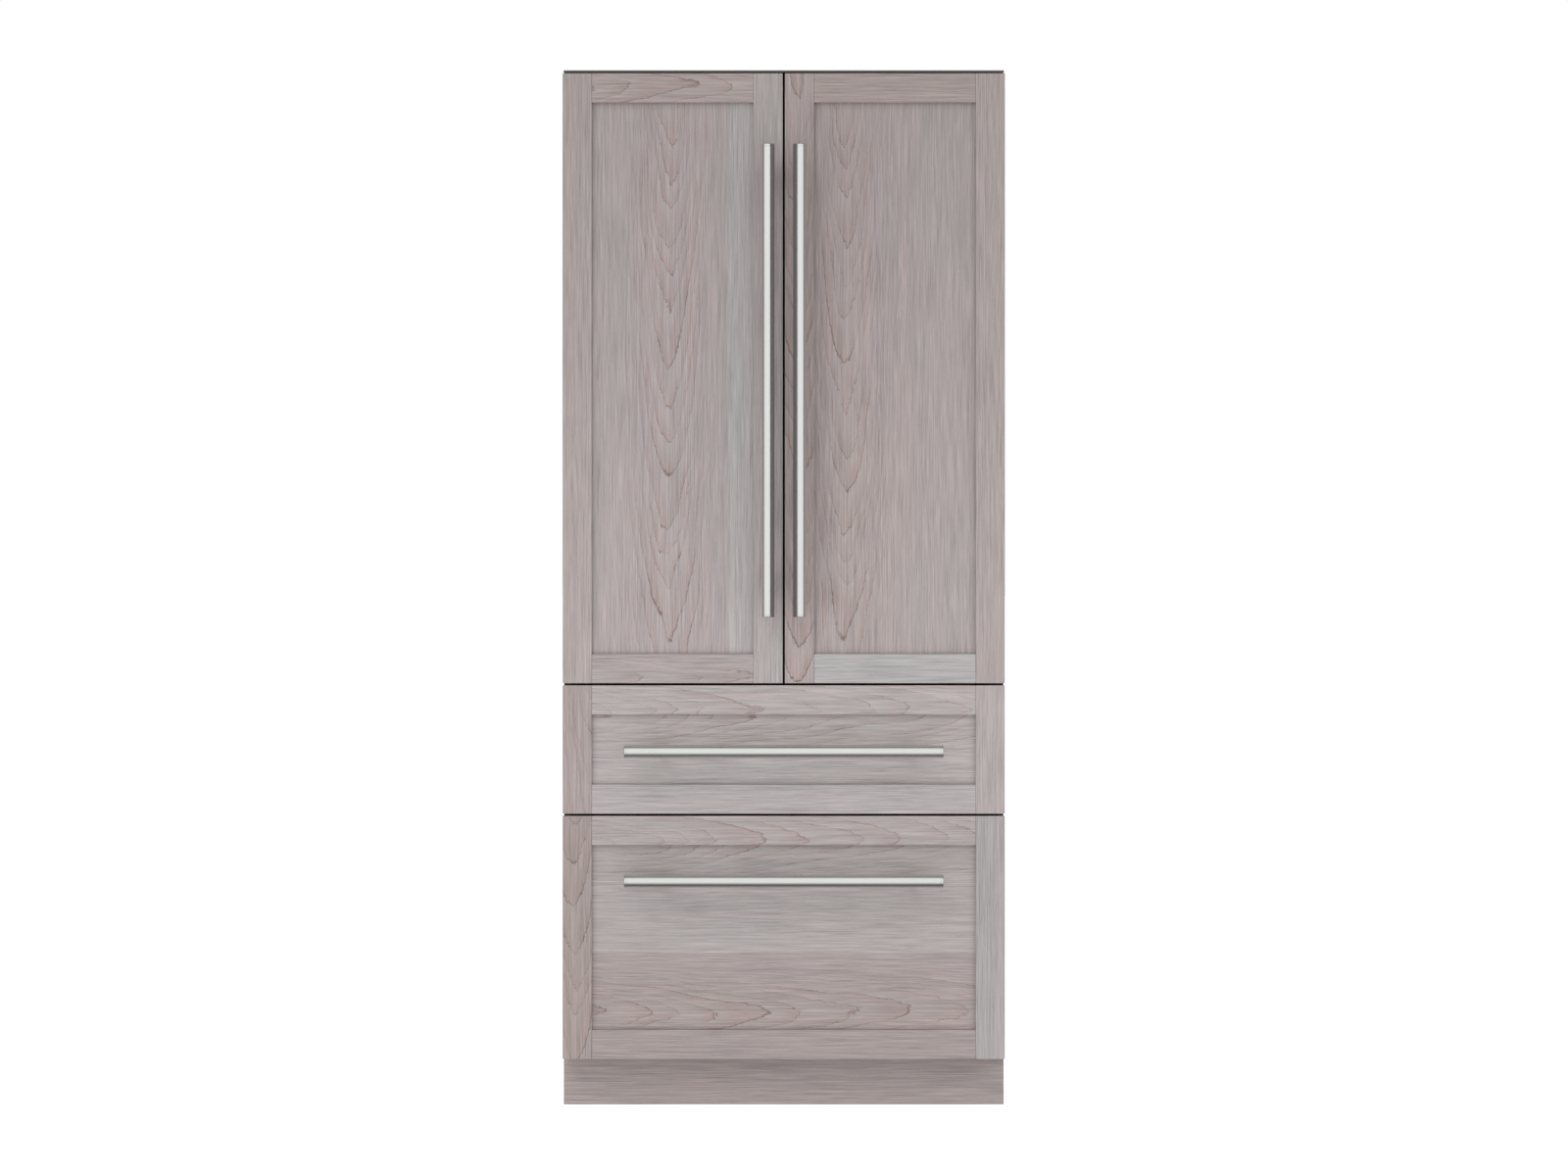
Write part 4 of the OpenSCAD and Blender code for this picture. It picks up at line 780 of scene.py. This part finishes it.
# Each board's log: where its pith lies, its depth and slope against it, then warmth, lightness and
# figure. Each plank of the field also has the place where it starts, but for the first.
FRONTS = {
    "left_door": ({
        "left_stile": (-0.560, 0.060, 0.010, 0.61, 0.949, 0.25),
        "right_stile": (0.110, 0.050, 0.010, 0.40, 0.98, 0.25),
        "lower_rail": (0.880, 0.070, 0.05, 0.48, 0.918, 0.55),
        "upper_rail": (2.102, 0.130, 0.060, 0.72, 1.001, 1.00),
    }, [
        (None, (-0.236, 0.213, -0.062, 0.49, 0.970, 1.0)),
        (-0.113, (0.090, 0.060, 0.010, 0.29, 1.053, 0.2)),
    ]),
    "right_door": ({
        "left_stile": (0.030, 0.213, -0.062, 0.65, 0.95, 1.0),
        "right_stile": (0.580, 0.050, 0.010, 0.63, 0.945, 0.25),
        "lower_rail": (1.040, 0.060, 0.010, 0.14, 1.035, 0.1),
        "upper_rail": (1.960, 0.060, 0.010, 0.85, 0.922, 0.25),
    }, [
        (None, (0.128, 0.213, -0.062, 0.57, 0.941, 1.0)),
        (0.262, (0.520, 0.060, 0.010, 0.53, 0.933, 0.3)),
    ]),
    "middle_drawer": ({
        "left_stile": (-0.395, 0.150, -0.070, 0.62, 0.863, 0.9),
        "right_stile": (0.520, 0.060, 0.010, 0.52, 0.956, 0.2),
        "lower_rail": (0.560, 0.060, 0.010, 0.28, 0.971, 0.15),
        "upper_rail": (0.818, 0.120, 0.060, 0.36, 1.020, 0.65),
    }, [
        (None, (0.810, 0.120, 0.060, 0.36, 1.020, 0.75)),
    ]),
    "freezer_drawer": ({
        "left_stile": (-0.428, 0.160, -0.062, 0.71, 0.753, 1.0),
        "right_stile": (0.520, 0.060, 0.010, 0.24, 0.857, 0.15),
        "lower_rail": (0.060, 0.060, 0.010, 0.64, 0.725, 0.4),
        "upper_rail": (0.550, 0.120, 0.060, 0.44, 0.938, 0.7),
    }, [
        (None, (0.200, 0.120, 0.060, 0.64, 0.785, 0.9)),
        (0.318, (0.545, 0.120, 0.060, 0.37, 0.892, 0.8)),
    ]),
}


# Handles

def turned(name, spot, axis_y, profile):
    """A closed turning about a handle's axis, from (length, radius) stops."""
    sides = 64
    shape = bmesh.new()
    rings = [
        [shape.verts.new(spot(radius * math.cos(t), axis_y + radius * math.sin(t), length))
         for t in (turns(sides) if radius else [0])]
        for length, radius in profile
    ]
    for first, second in zip(rings, rings[1:] + rings[:1]):
        for i in range(sides):
            j = (i + 1) % sides
            corners = [ring[k % len(ring)] for ring, k in ((first, i), (first, j), (second, j), (second, i))]
            corners = [v for k, v in enumerate(corners) if v not in corners[:k]]
            if len(corners) > 2:
                shape.faces.new(corners)
    return closed(name, shape)


def handle_post(name, spot, axis_y, at, seat_y):
    """A round post from a saddle on the tube to a softened foot on the wood."""
    sides, softening, saddle_r = 40, 0.0006, HANDLE_R + FIT_GAP
    shape = bmesh.new()

    def loop(radius, y=None):
        """Points round the post at y, or where it meets the tube."""
        points = []
        for t in turns(sides):
            across, length = radius * math.cos(t), at + radius * math.sin(t)
            saddle_y = axis_y + math.sqrt(saddle_r ** 2 - across ** 2)
            points.append(shape.verts.new(spot(across, saddle_y if y is None else y, length)))
        return points

    rings = [loop(POST_R), loop(POST_R, seat_y - softening), loop(POST_R - softening, seat_y)]
    for first, second in zip(rings, rings[1:]):
        for i in range(sides):
            j = (i + 1) % sides
            shape.faces.new((first[i], second[i], second[j], first[j]))
    shape.faces.new(rings[-1])
    centre = shape.verts.new(spot(0, axis_y + saddle_r, at))
    for i in range(sides):
        shape.faces.new((rings[0][i], rings[0][(i + 1) % sides], centre))
    return closed(name, shape)


def handle(leaf):
    """A steel tube with turned end caps, on two posts that are bolted from behind."""
    node, upright = f"{leaf}_handle", leaf.endswith("door")
    low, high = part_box(node)
    axis_y = low.y + HANDLE_R
    if upright:
        start, end, side, steel, ends = low.z, high.z, (low.x + high.x) / 2, BAR_STEEL_Z, ("lower", "upper")
    else:
        start, end, side, steel, ends = low.x, high.x, (low.z + high.z) / 2, BAR_STEEL_X, ("left", "right")
    seat_recess, grip = seating(upright)
    seat_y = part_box(f"{leaf}_front")[0].y + seat_recess

    def spot(across, y, length):
        """A point beside the handle's axis, at a length along it."""
        return (side + across, y, length) if upright else (length, y, side + across)

    outer, inner, soft = HANDLE_R, HANDLE_R - HANDLE_WALL, 0.0003
    tube_start, tube_end = start + CAP_LEN + FIT_GAP, end - CAP_LEN - FIT_GAP
    tube = turned(f"{leaf}_bar", spot, axis_y, [
        (tube_start + soft, outer), (tube_end - soft, outer), (tube_end, outer - soft), (tube_end, inner),
        (tube_start, inner), (tube_start, outer - soft),
    ])
    dress(tube, leaf, "handle_steel", steel, node)
    for label, tip, step in zip(ends, (start, end), (1, -1)):
        cap = turned(f"{leaf}_bar_{label}_cap", spot, axis_y, [
            (tip + step * length, radius) for length, radius in (
                (0, 0), (0, outer - 0.0016), (0.0002, outer - 0.0009), (0.0009, outer - 0.0002),
                (0.0016, outer), (CAP_LEN - soft, outer), (CAP_LEN, outer - soft),
                (CAP_LEN, inner - FIT_GAP), (CAP_LEN + PLUG_LEN, inner - FIT_GAP), (CAP_LEN + PLUG_LEN, 0),
            )
        ])
        dress(cap, leaf, "handle_steel", steel, node)
    posts = (start + POST_INSET, end - POST_INSET)
    for label, at in zip(("first", "second"), posts):
        post = handle_post(f"{leaf}_{label}_post", spot, axis_y, at, seat_y)
        dress(post, leaf, "handle_steel", steel, node)
    spots = [(side, at) if upright else (at, side) for at in posts]
    under_head = seat_y + grip
    dress(lofted(f"{leaf}_handle_bolts", *(
        bolt(x, z, seat_y - BOLT_THREAD_LEN, under_head, under_head + BOLT_HEAD_H) for x, z in spots
    )), leaf, "handle_steel", SCREW_STEEL, node)
    return spots


for leaf, (boards, planks) in FRONTS.items():
    framed_front(leaf, boards, planks, handle(leaf))

board("toe_kick_board", "cabinet", "kick_wood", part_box("toe_kick"), False,
      (0.150, 0.060, 0.012, 0.70, 0.762, 0.25), "toe_kick")


# The case: pressed back sheet, louvred cover, screws

back_low, back_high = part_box("rear_panels")
BACK_IN, BACK_OUT = back_high.y - SHEET_IN, back_high.y - SHEET_OUT
SHEET_FACE = BACK_OUT - HEM_RISE


def sheet_cutter(name, x, z):
    """A block that cuts a hole through a sheet."""
    return block(name, (x[0], BACK_IN - 0.002, z[0]), (x[1], BACK_OUT + 0.001, z[1]))


def pressed_sheet(name, z, holes=()):
    """A sheet whose hemmed border stands a little proud of its face, round a pressed field."""
    piece = lofted(name, facing_loops((back_low.x, back_high.x), z, [
        (BACK_IN, 0, 0.003), (BACK_OUT - 0.0002, 0, 0.003), (BACK_OUT, 0.0003, 0.003),
        (BACK_OUT, HEM_W, 0.004), (SHEET_FACE, HEM_W + 0.0006, 0.004),
        (SHEET_FACE, 0.042, 0.020), (BACK_OUT - FIELD_SINK, 0.045, 0.018),
    ]), crisp=PRESSED_CRISP)
    for cutter in holes:
        cut_away(piece, cutter)
    if holes:
        smooth(baked(piece), PRESSED_CRISP)
    dress(piece, "cabinet", "case_steel", REAR_COAT, "rear_panels")


pressed_sheet("back_sheet", (SHEET_SPLIT + SEAT_GAP, back_high.z))
beads = lofted("back_sheet_beads", facing_loops(BEAD_X, BEAD_Z, [
    (BACK_OUT - 0.0009, 0, 0.0085), (BACK_OUT - 0.0003, 0.0005, 0.0080), (BACK_OUT, 0.003, 0.0055),
]))
repeated(beads, REAR_COAT, rows=BEAD_COUNT, row_step=(0, 0, BEAD_STEP))
dress(beads, "cabinet", "case_steel", REAR_COAT)

slots = repeated(sheet_cutter("louvre_cutter", SLOT_X, SLOT_Z), REAR_COAT, **LOUVRES)
inlet_hole = sheet_cutter("inlet_cutter", INLET_X, INLET_Z)
pressed_sheet("machine_cover", (back_low.z, SHEET_SPLIT - SEAT_GAP), (slots, inlet_hole))
for cutter in (slots, inlet_hole):
    bpy.data.objects.remove(cutter)

BLADE_PROFILE = [(0.0, 0.0078), (-0.0010, 0.0084), (-0.0095, 0.0012), (-0.0100, -0.0010),
                 (-0.0092, -0.0010), (-0.0087, 0.0006), (-0.0006, 0.0072)]
blades = lofted("louvre_blades", [
    [(x, BACK_IN - FIT_GAP + y, SLOT_Z[0] + z) for y, z in BLADE_PROFILE]
    for x in (SLOT_X[0] - BLADE_LAP, SLOT_X[1] + BLADE_LAP)
], crisp=PRESSED_CRISP)
repeated(blades, REAR_COAT, **LOUVRES)
dress(blades, "cabinet", "case_steel", REAR_COAT)
finished_copy("rear_panels", "cabinet", "case_steel", MOTOR_BLACK,
              keep=lambda co: co.y < BACK_IN - FIT_GAP, name="power_inlet")

# Each grid of screws: its first screw, how many columns and rows, and the steps between them
for name, x, z, columns, rows, x_step, z_step in (
    ("back_sheet_side_screws", -0.426, 0.340, 2, 13, 0.852, 0.146),
    ("back_sheet_edge_screws", -0.300, 0.322, 5, 2, 0.150, 1.784),
    ("machine_cover_screws", -0.426, 0.052, 5, 2, 0.213, 0.226),
):
    case_screws(name, (x, SHEET_FACE, z), (0, 1, 0), SCREW_R, SCREW_H,
                columns, rows, (x_step, 0, 0), (0, 0, z_step))
case_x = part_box("outer_case")[1].x
for side, out in (("left", -1), ("right", 1)):
    case_screws(f"case_{side}_screws", (out * case_x, -0.186, 0.150), (out, 0, 0), CASE_SCREW_R, CASE_SCREW_H,
                2, 12, (0, 0.515, 0), (0, 0, 0.172))

# Solids whose own shape is right: body, slot, finish, width of the eased edges, edges that stay crisp
for row in (
    ("outer_case", "cabinet", "case_steel", CASE_COAT, 0.0004, PLAIN_CRISP),
    ("header_trim", "cabinet", "header_trim", HEADER_COAT, 0.0007, PLAIN_CRISP),
    ("face_frame", "cabinet", "face_steel", FACE_COAT, 0.0004, PLAIN_CRISP),
    ("centre_mullion", "cabinet", "face_steel", FACE_COAT, 0.0020, PLAIN_CRISP),
    ("base_frame", "cabinet", "base_steel", BASE_COAT, 0.0004, PLAIN_CRISP),
    ("levelling_feet", "cabinet", "foot_rubber", TYRE_BLACK, 0.0006),
    ("rear_rollers", "rear_rollers", "foot_rubber", TYRE_BLACK, 0.0012),
    ("compressor", "cabinet", "compressor_black", ENAMEL_BLACK),
    ("fan_motors", "cabinet", "motor_plastic", MOTOR_BLACK),
    ("condenser_fan", "condenser_fan", "fan_plastic", FAN_WHITE),
    ("fridge_fan", "fridge_fan", "fan_plastic", FAN_WHITE),
    ("freezer_fan", "freezer_fan", "fan_plastic", FAN_WHITE),
):
    finished_copy(*row)


# Inside: fridge liner, shelves, lights, controls, hinges and slides

low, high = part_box("fridge_liner")
liner = lofted("fridge_liner_moulding", facing_loops((low.x, high.x), (low.z, high.z), [
    (high.y, 0.003, 0.012), (high.y - 0.003, 0, 0.014), (low.y + 0.0004, 0, 0.014), (low.y, 0.0004, 0.0136),
    (low.y, LINER_T - 0.0004, 0.0124), (low.y + 0.0004, LINER_T, 0.012),
    (high.y - LINER_T - 0.004, LINER_T, 0.012), (high.y - LINER_T, LINER_T + 0.004, 0.010),
]))
dress(liner, "cabinet", "liner_plastic", LINER_WHITE, "fridge_liner")

for row in (
    ("drawer_liners", "cabinet", "liner_plastic", LINER_WHITE, 0.0),
    ("duct_covers", "cabinet", "liner_plastic", TRIM_WHITE, 0.0008),
    ("shelf_supports", "cabinet", "track_metal", SLIDE_STEEL, 0.0003),
    ("shelf_frames", "cabinet", "shelf_trim", TRIM_WHITE, 0.0012),
    ("shelf_glass", "cabinet", "shelf_glass", SHELF_GLASS, 0.0006),
    ("light_bars", "cabinet", "light_lens", LENS, 0.0014),
    ("control_panel", "cabinet", "control_plastic", PANEL_GREY, 0.0006),
    ("door_hinges", "cabinet", "hinge_steel", HINGE_STEEL, 0.0004),
    ("middle_drawer_runners", "middle_drawer", "slide_steel", SLIDE_STEEL, 0.0003),
    ("middle_drawer_links", "middle_links", "slide_steel", SLIDE_STEEL, 0.0003),
    ("freezer_drawer_runners", "freezer_drawer", "slide_steel", SLIDE_STEEL, 0.0003),
    ("freezer_drawer_links", "freezer_links", "slide_steel", SLIDE_STEEL, 0.0003),
    ("drawer_slides", "cabinet", "slide_steel", SLIDE_STEEL, 0.0003),
):
    finished_copy(*row, PLAIN_CRISP)

panel_low, panel_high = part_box("control_panel")
key_y = (panel_low.y + panel_high.y) / 2
keys = lofted("control_keys", [
    [(KEY_X + r * math.cos(t), key_y + r * math.sin(t), panel_low.z + z) for t in turns(24)]
    for z, r in ((0.0006, 0.0062), (0.0003, 0.0062), (0.0001, 0.0059), (0.0001, 0.0030), (0.0003, 0.0026))
])
repeated(keys, KEY_GREY, columns=KEY_COUNT, column_step=(KEY_STEP, 0, 0))
dress(keys, "cabinet", "control_plastic", KEY_GREY)


# Crispers, drawer bins and the freezer tray

GRIP_PROFILE = [(0.0007, -0.020), (0.0007, -0.023), (-0.0085, -0.023), (-0.0085, -0.0305), (-0.0095, -0.034),
                (-0.0115, -0.034), (-0.012, -0.033), (-0.012, -0.0215), (-0.0105, -0.020)]

for node, sign in (("left_crisper", -1), ("right_crisper", 1)):
    low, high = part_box(node)
    inner, outer = sorted((abs(low.x), abs(high.x)))
    box_in, box_out = inner + HANG_INNER, outer - HANG_OUTER
    x0, x1 = sorted((sign * box_in, sign * box_out))
    front_y = low.y + CRISPER_GRIP_OUT
    box = tub((x0, front_y, low.z), (x1, high.y, high.z), TUB_WALL, 0.014, 0.010, 0.002)
    flanges = [
        level_loops(sorted((sign * start, sign * end)), (front_y + 0.006, high.y - 0.006), [
            (high.z - drop, i, 0.003) for drop, i in ((0.003, 0.0004), (0.0026, 0), (0.0004, 0), (0, 0.0004))
        ])
        for start, end in ((inner, box_in - FIT_GAP), (box_out + FIT_GAP, outer))
    ]
    dress(lofted(f"{node}_tub", box, *flanges), node, "clear_plastic", BIN_CLEAR, node)
    grip = lofted(f"{node}_grip", [
        [(x, front_y + y, high.z + z) for y, z in GRIP_PROFILE] for x in (x0 + 0.001, x1 - 0.001)
    ], crisp=GRIP_CRISP)
    dress(grip, node, "clear_plastic", TRIM_WHITE, node)

for node, body, slot, finish, corner, base, draft in (
    ("middle_drawer_bin", "middle_drawer", "clear_plastic", BIN_CLEAR, 0.022, 0.014, 0.003),
    ("freezer_drawer_bin", "freezer_drawer", "bin_plastic", TRIM_WHITE, 0.022, 0.014, 0.003),
    ("freezer_tray", "freezer_tray", "bin_plastic", TRIM_WHITE, 0.016, 0.012, 0.002),
):
    box = tub(*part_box(node), DRAWER_WALL, corner, base, draft, DRAWER_LIP)
    dress(lofted(f"{node}_tub", box), body, slot, finish, node)


# Doors and drawers behind the wood: seals, shells, liners and bins

# The seal's folds: inset from its outer edge, and share of its depth from the door
SEAL_PROFILE = [
    (0.0030, 0.0), (0.0110, 0.0), (0.0110, 0.11), (0.0126, 0.20), (0.0110, 0.32), (0.0130, 0.44),
    (0.0130, 0.54), (0.0137, 0.60), (0.0140, 0.70), (0.0140, 0.88), (0.0132, 1.0), (0.0008, 1.0),
    (0.0, 0.88), (0.0, 0.70), (0.0003, 0.60), (0.0010, 0.54), (0.0010, 0.44), (0.0030, 0.32),
    (0.0014, 0.20), (0.0030, 0.11),
]


def seal(node, body):
    """A folded magnetic seal with mitred corners."""
    low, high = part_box(node)
    depth = high.y - low.y
    folded = lofted(f"{node}_folded", [
        [(x, low.y + share * depth, z) for x, z in (
            (low.x + inset, low.z + inset), (high.x - inset, low.z + inset),
            (high.x - inset, high.z - inset), (low.x + inset, high.z - inset))]
        for inset, share in SEAL_PROFILE
    ], crisp=SEAL_CRISP, ring=True)
    dress(folded, body, "seal_rubber", SEAL_DARK, node)


def door_liner(leaf, sign):
    """A moulded inner door: a flat sheet, and the raised rim that the bins hang in."""
    node = f"{leaf}_liner"
    low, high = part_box(node)
    face_y = low.y + LINER_T
    sheet = facing_loops((low.x, high.x), (low.z, high.z), [
        (low.y, 0, 0.002), (face_y - 0.0003, 0, 0.002), (face_y, 0.0003, 0.002),
    ])
    rim = facing_loops(sorted(sign * x for x in RIM_X), RIM_Z, [
        (face_y - 0.0005, 0, 0.020), (face_y + 0.004, 0.0002, 0.020), (high.y - 0.005, 0.0012, 0.019),
        (high.y - 0.0016, 0.0024, 0.018), (high.y, 0.0052, 0.016), (high.y, 0.0080, 0.013),
        (high.y - 0.0016, 0.0108, 0.010), (high.y - 0.005, 0.0124, 0.008), (face_y + 0.003, 0.0137, 0.006),
        (face_y + 0.0001, 0.0140, 0.005),
    ])
    dress(lofted(f"{node}_moulding", sheet, rim), leaf, "liner_plastic", LINER_WHITE, node)


def door_bins(leaf):
    """A door's column of clear bins, each in its steel band."""
    node = f"{leaf}_bins"
    low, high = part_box(node)
    top = low.z + DOOR_BIN_H
    pitch = (high.z - low.z - DOOR_BIN_H) / (DOOR_BIN_COUNT - 1)
    column = {"rows": DOOR_BIN_COUNT, "row_step": (0, 0, pitch)}
    tubs = lofted(f"{leaf}_bin_tubs", tub(
        (low.x + BAND_T, low.y + BAND_T, low.z), (high.x - BAND_T, high.y - BAND_T, top),
        TUB_WALL, 0.022, 0.010, 0.004))
    bands = lofted(f"{leaf}_bin_bands", level_loops((low.x, high.x), (low.y, high.y), [
        (top - drop, i, BAND_CORNER - i) for drop, i in (
            (BAND_H, 0.0004), (BAND_H - 0.0005, 0.0), (0.0010, 0.0), (0, 0.0008),
            (0, BAND_T - FIT_GAP), (BAND_H, BAND_T - FIT_GAP))
    ]), ring=True)
    for piece, finish in ((tubs, BIN_CLEAR), (bands, BAND_STEEL)):
        dress(repeated(piece, finish, **column), leaf, "clear_plastic", finish, node)


for leaf in FRONTS:
    seal(f"{leaf}_gasket", leaf)
    finished_copy(f"{leaf}_shell", leaf, "door_steel", DOOR_COAT, 0.0003, PLAIN_CRISP)

for leaf, sign in (("left_door", -1), ("right_door", 1)):
    door_liner(leaf, sign)
    door_bins(leaf)


# Studio: pale floor, even soft light and the photograph's camera

def studio_sky():
    """White behind the object, soft light all round, and a bright card before it for the gloss."""
    sky = Finish("studio_sky", "World")
    _, north, up = sky.split(sky.add("TexCoord", output="Generated"))
    ray = sky.add("LightPath").socket.node.outputs
    seen, glossy = Value(sky, ray["Is Camera Ray"]), Value(sky, ray["Is Glossy Ray"])
    card = (0 - north).rise(-0.05, 0.62) * up.rise(-0.98, -0.25) * (1 - up.rise(0.70, 1.0) * 0.6)
    soft = up.rise(-0.8, 0.4) * SKY_RISE + (1 - SKY_RISE)
    level = seen + (1 - seen) * (glossy * (0.13 + card * 0.87) + (1 - glossy) * soft * SKY_LIGHT)
    light = sky.add("Background", inputs={"Color": (1.0, 1.0, 1.0), "Strength": level})
    sky.tree.links.new(light.socket, sky.output.inputs["Surface"])
    bpy.context.scene.world = sky.material


def studio_floor():
    """A pale floor that runs out to the horizon."""
    floor = block("studio_floor", (-FLOOR_REACH, -FLOOR_REACH, -0.02), (FLOOR_REACH, FLOOR_REACH, 0))
    surface = Finish("studio_floor")
    cloud = surface.noise(surface.point(), scale=0.4, detail=1)
    surface.shade(Base_Color=surface.mix((0.30, 0.30, 0.30), (0.26, 0.26, 0.26), cloud), Roughness=0.9,
                  Specular_IOR_Level=0.0, Emission_Color=(1.0, 1.0, 1.0), Emission_Strength=1.0)
    floor.data.materials.append(surface.material)
    floor.visible_glossy = False


def studio_flag():
    """A dark flag between the door handles, seen only in their gloss."""
    flag = block("studio_flag", (-0.0004, FLAG_Y[0], FLAG_Z[0]), (0.0004, FLAG_Y[1], FLAG_Z[1]))
    dark = Finish("studio_flag")
    weave = dark.noise(dark.point(), scale=300)
    dark.shade(Base_Color=dark.mix((0.05, 0.05, 0.05), (0.03, 0.03, 0.03), weave), Roughness=0.9,
               Emission_Color=(1.0, 1.0, 1.0), Emission_Strength=0.11)
    flag.data.materials.append(dark.material)
    flag.visible_camera = flag.visible_diffuse = flag.visible_shadow = flag.visible_transmission = False


def soft_box():
    """A large soft box high to the left of the photographer, aimed at the object's middle."""
    lamp = bpy.data.lights.new("soft_box", "AREA")
    lamp.shape, lamp.energy = "RECTANGLE", SOFT_BOX_ENERGY
    lamp.size, lamp.size_y = SOFT_BOX_SIZE
    box = new_object("soft_box", lamp)
    box.location = SOFT_BOX_AT
    box.rotation_euler = (Vector(SOFT_BOX_AIM) - box.location).to_track_quat("-Z", "Y").to_euler()
    box.visible_glossy = False


def photograph_camera():
    """A long level lens straight before the object."""
    lens = bpy.data.cameras.new("photograph_camera")
    lens.sensor_width, lens.lens = SENSOR_MM, LENS_MM
    lens.clip_start, lens.clip_end = 0.1, 2500
    camera = new_object("photograph_camera", lens)
    camera.location = CAMERA_AT
    camera.rotation_euler = (math.radians(90), 0, 0)
    bpy.context.scene.camera = camera


studio_sky()
studio_floor()
studio_flag()
soft_box()
photograph_camera()
bpy.context.scene.view_settings.view_transform = "Standard"
bpy.context.scene.cycles.use_denoising = True
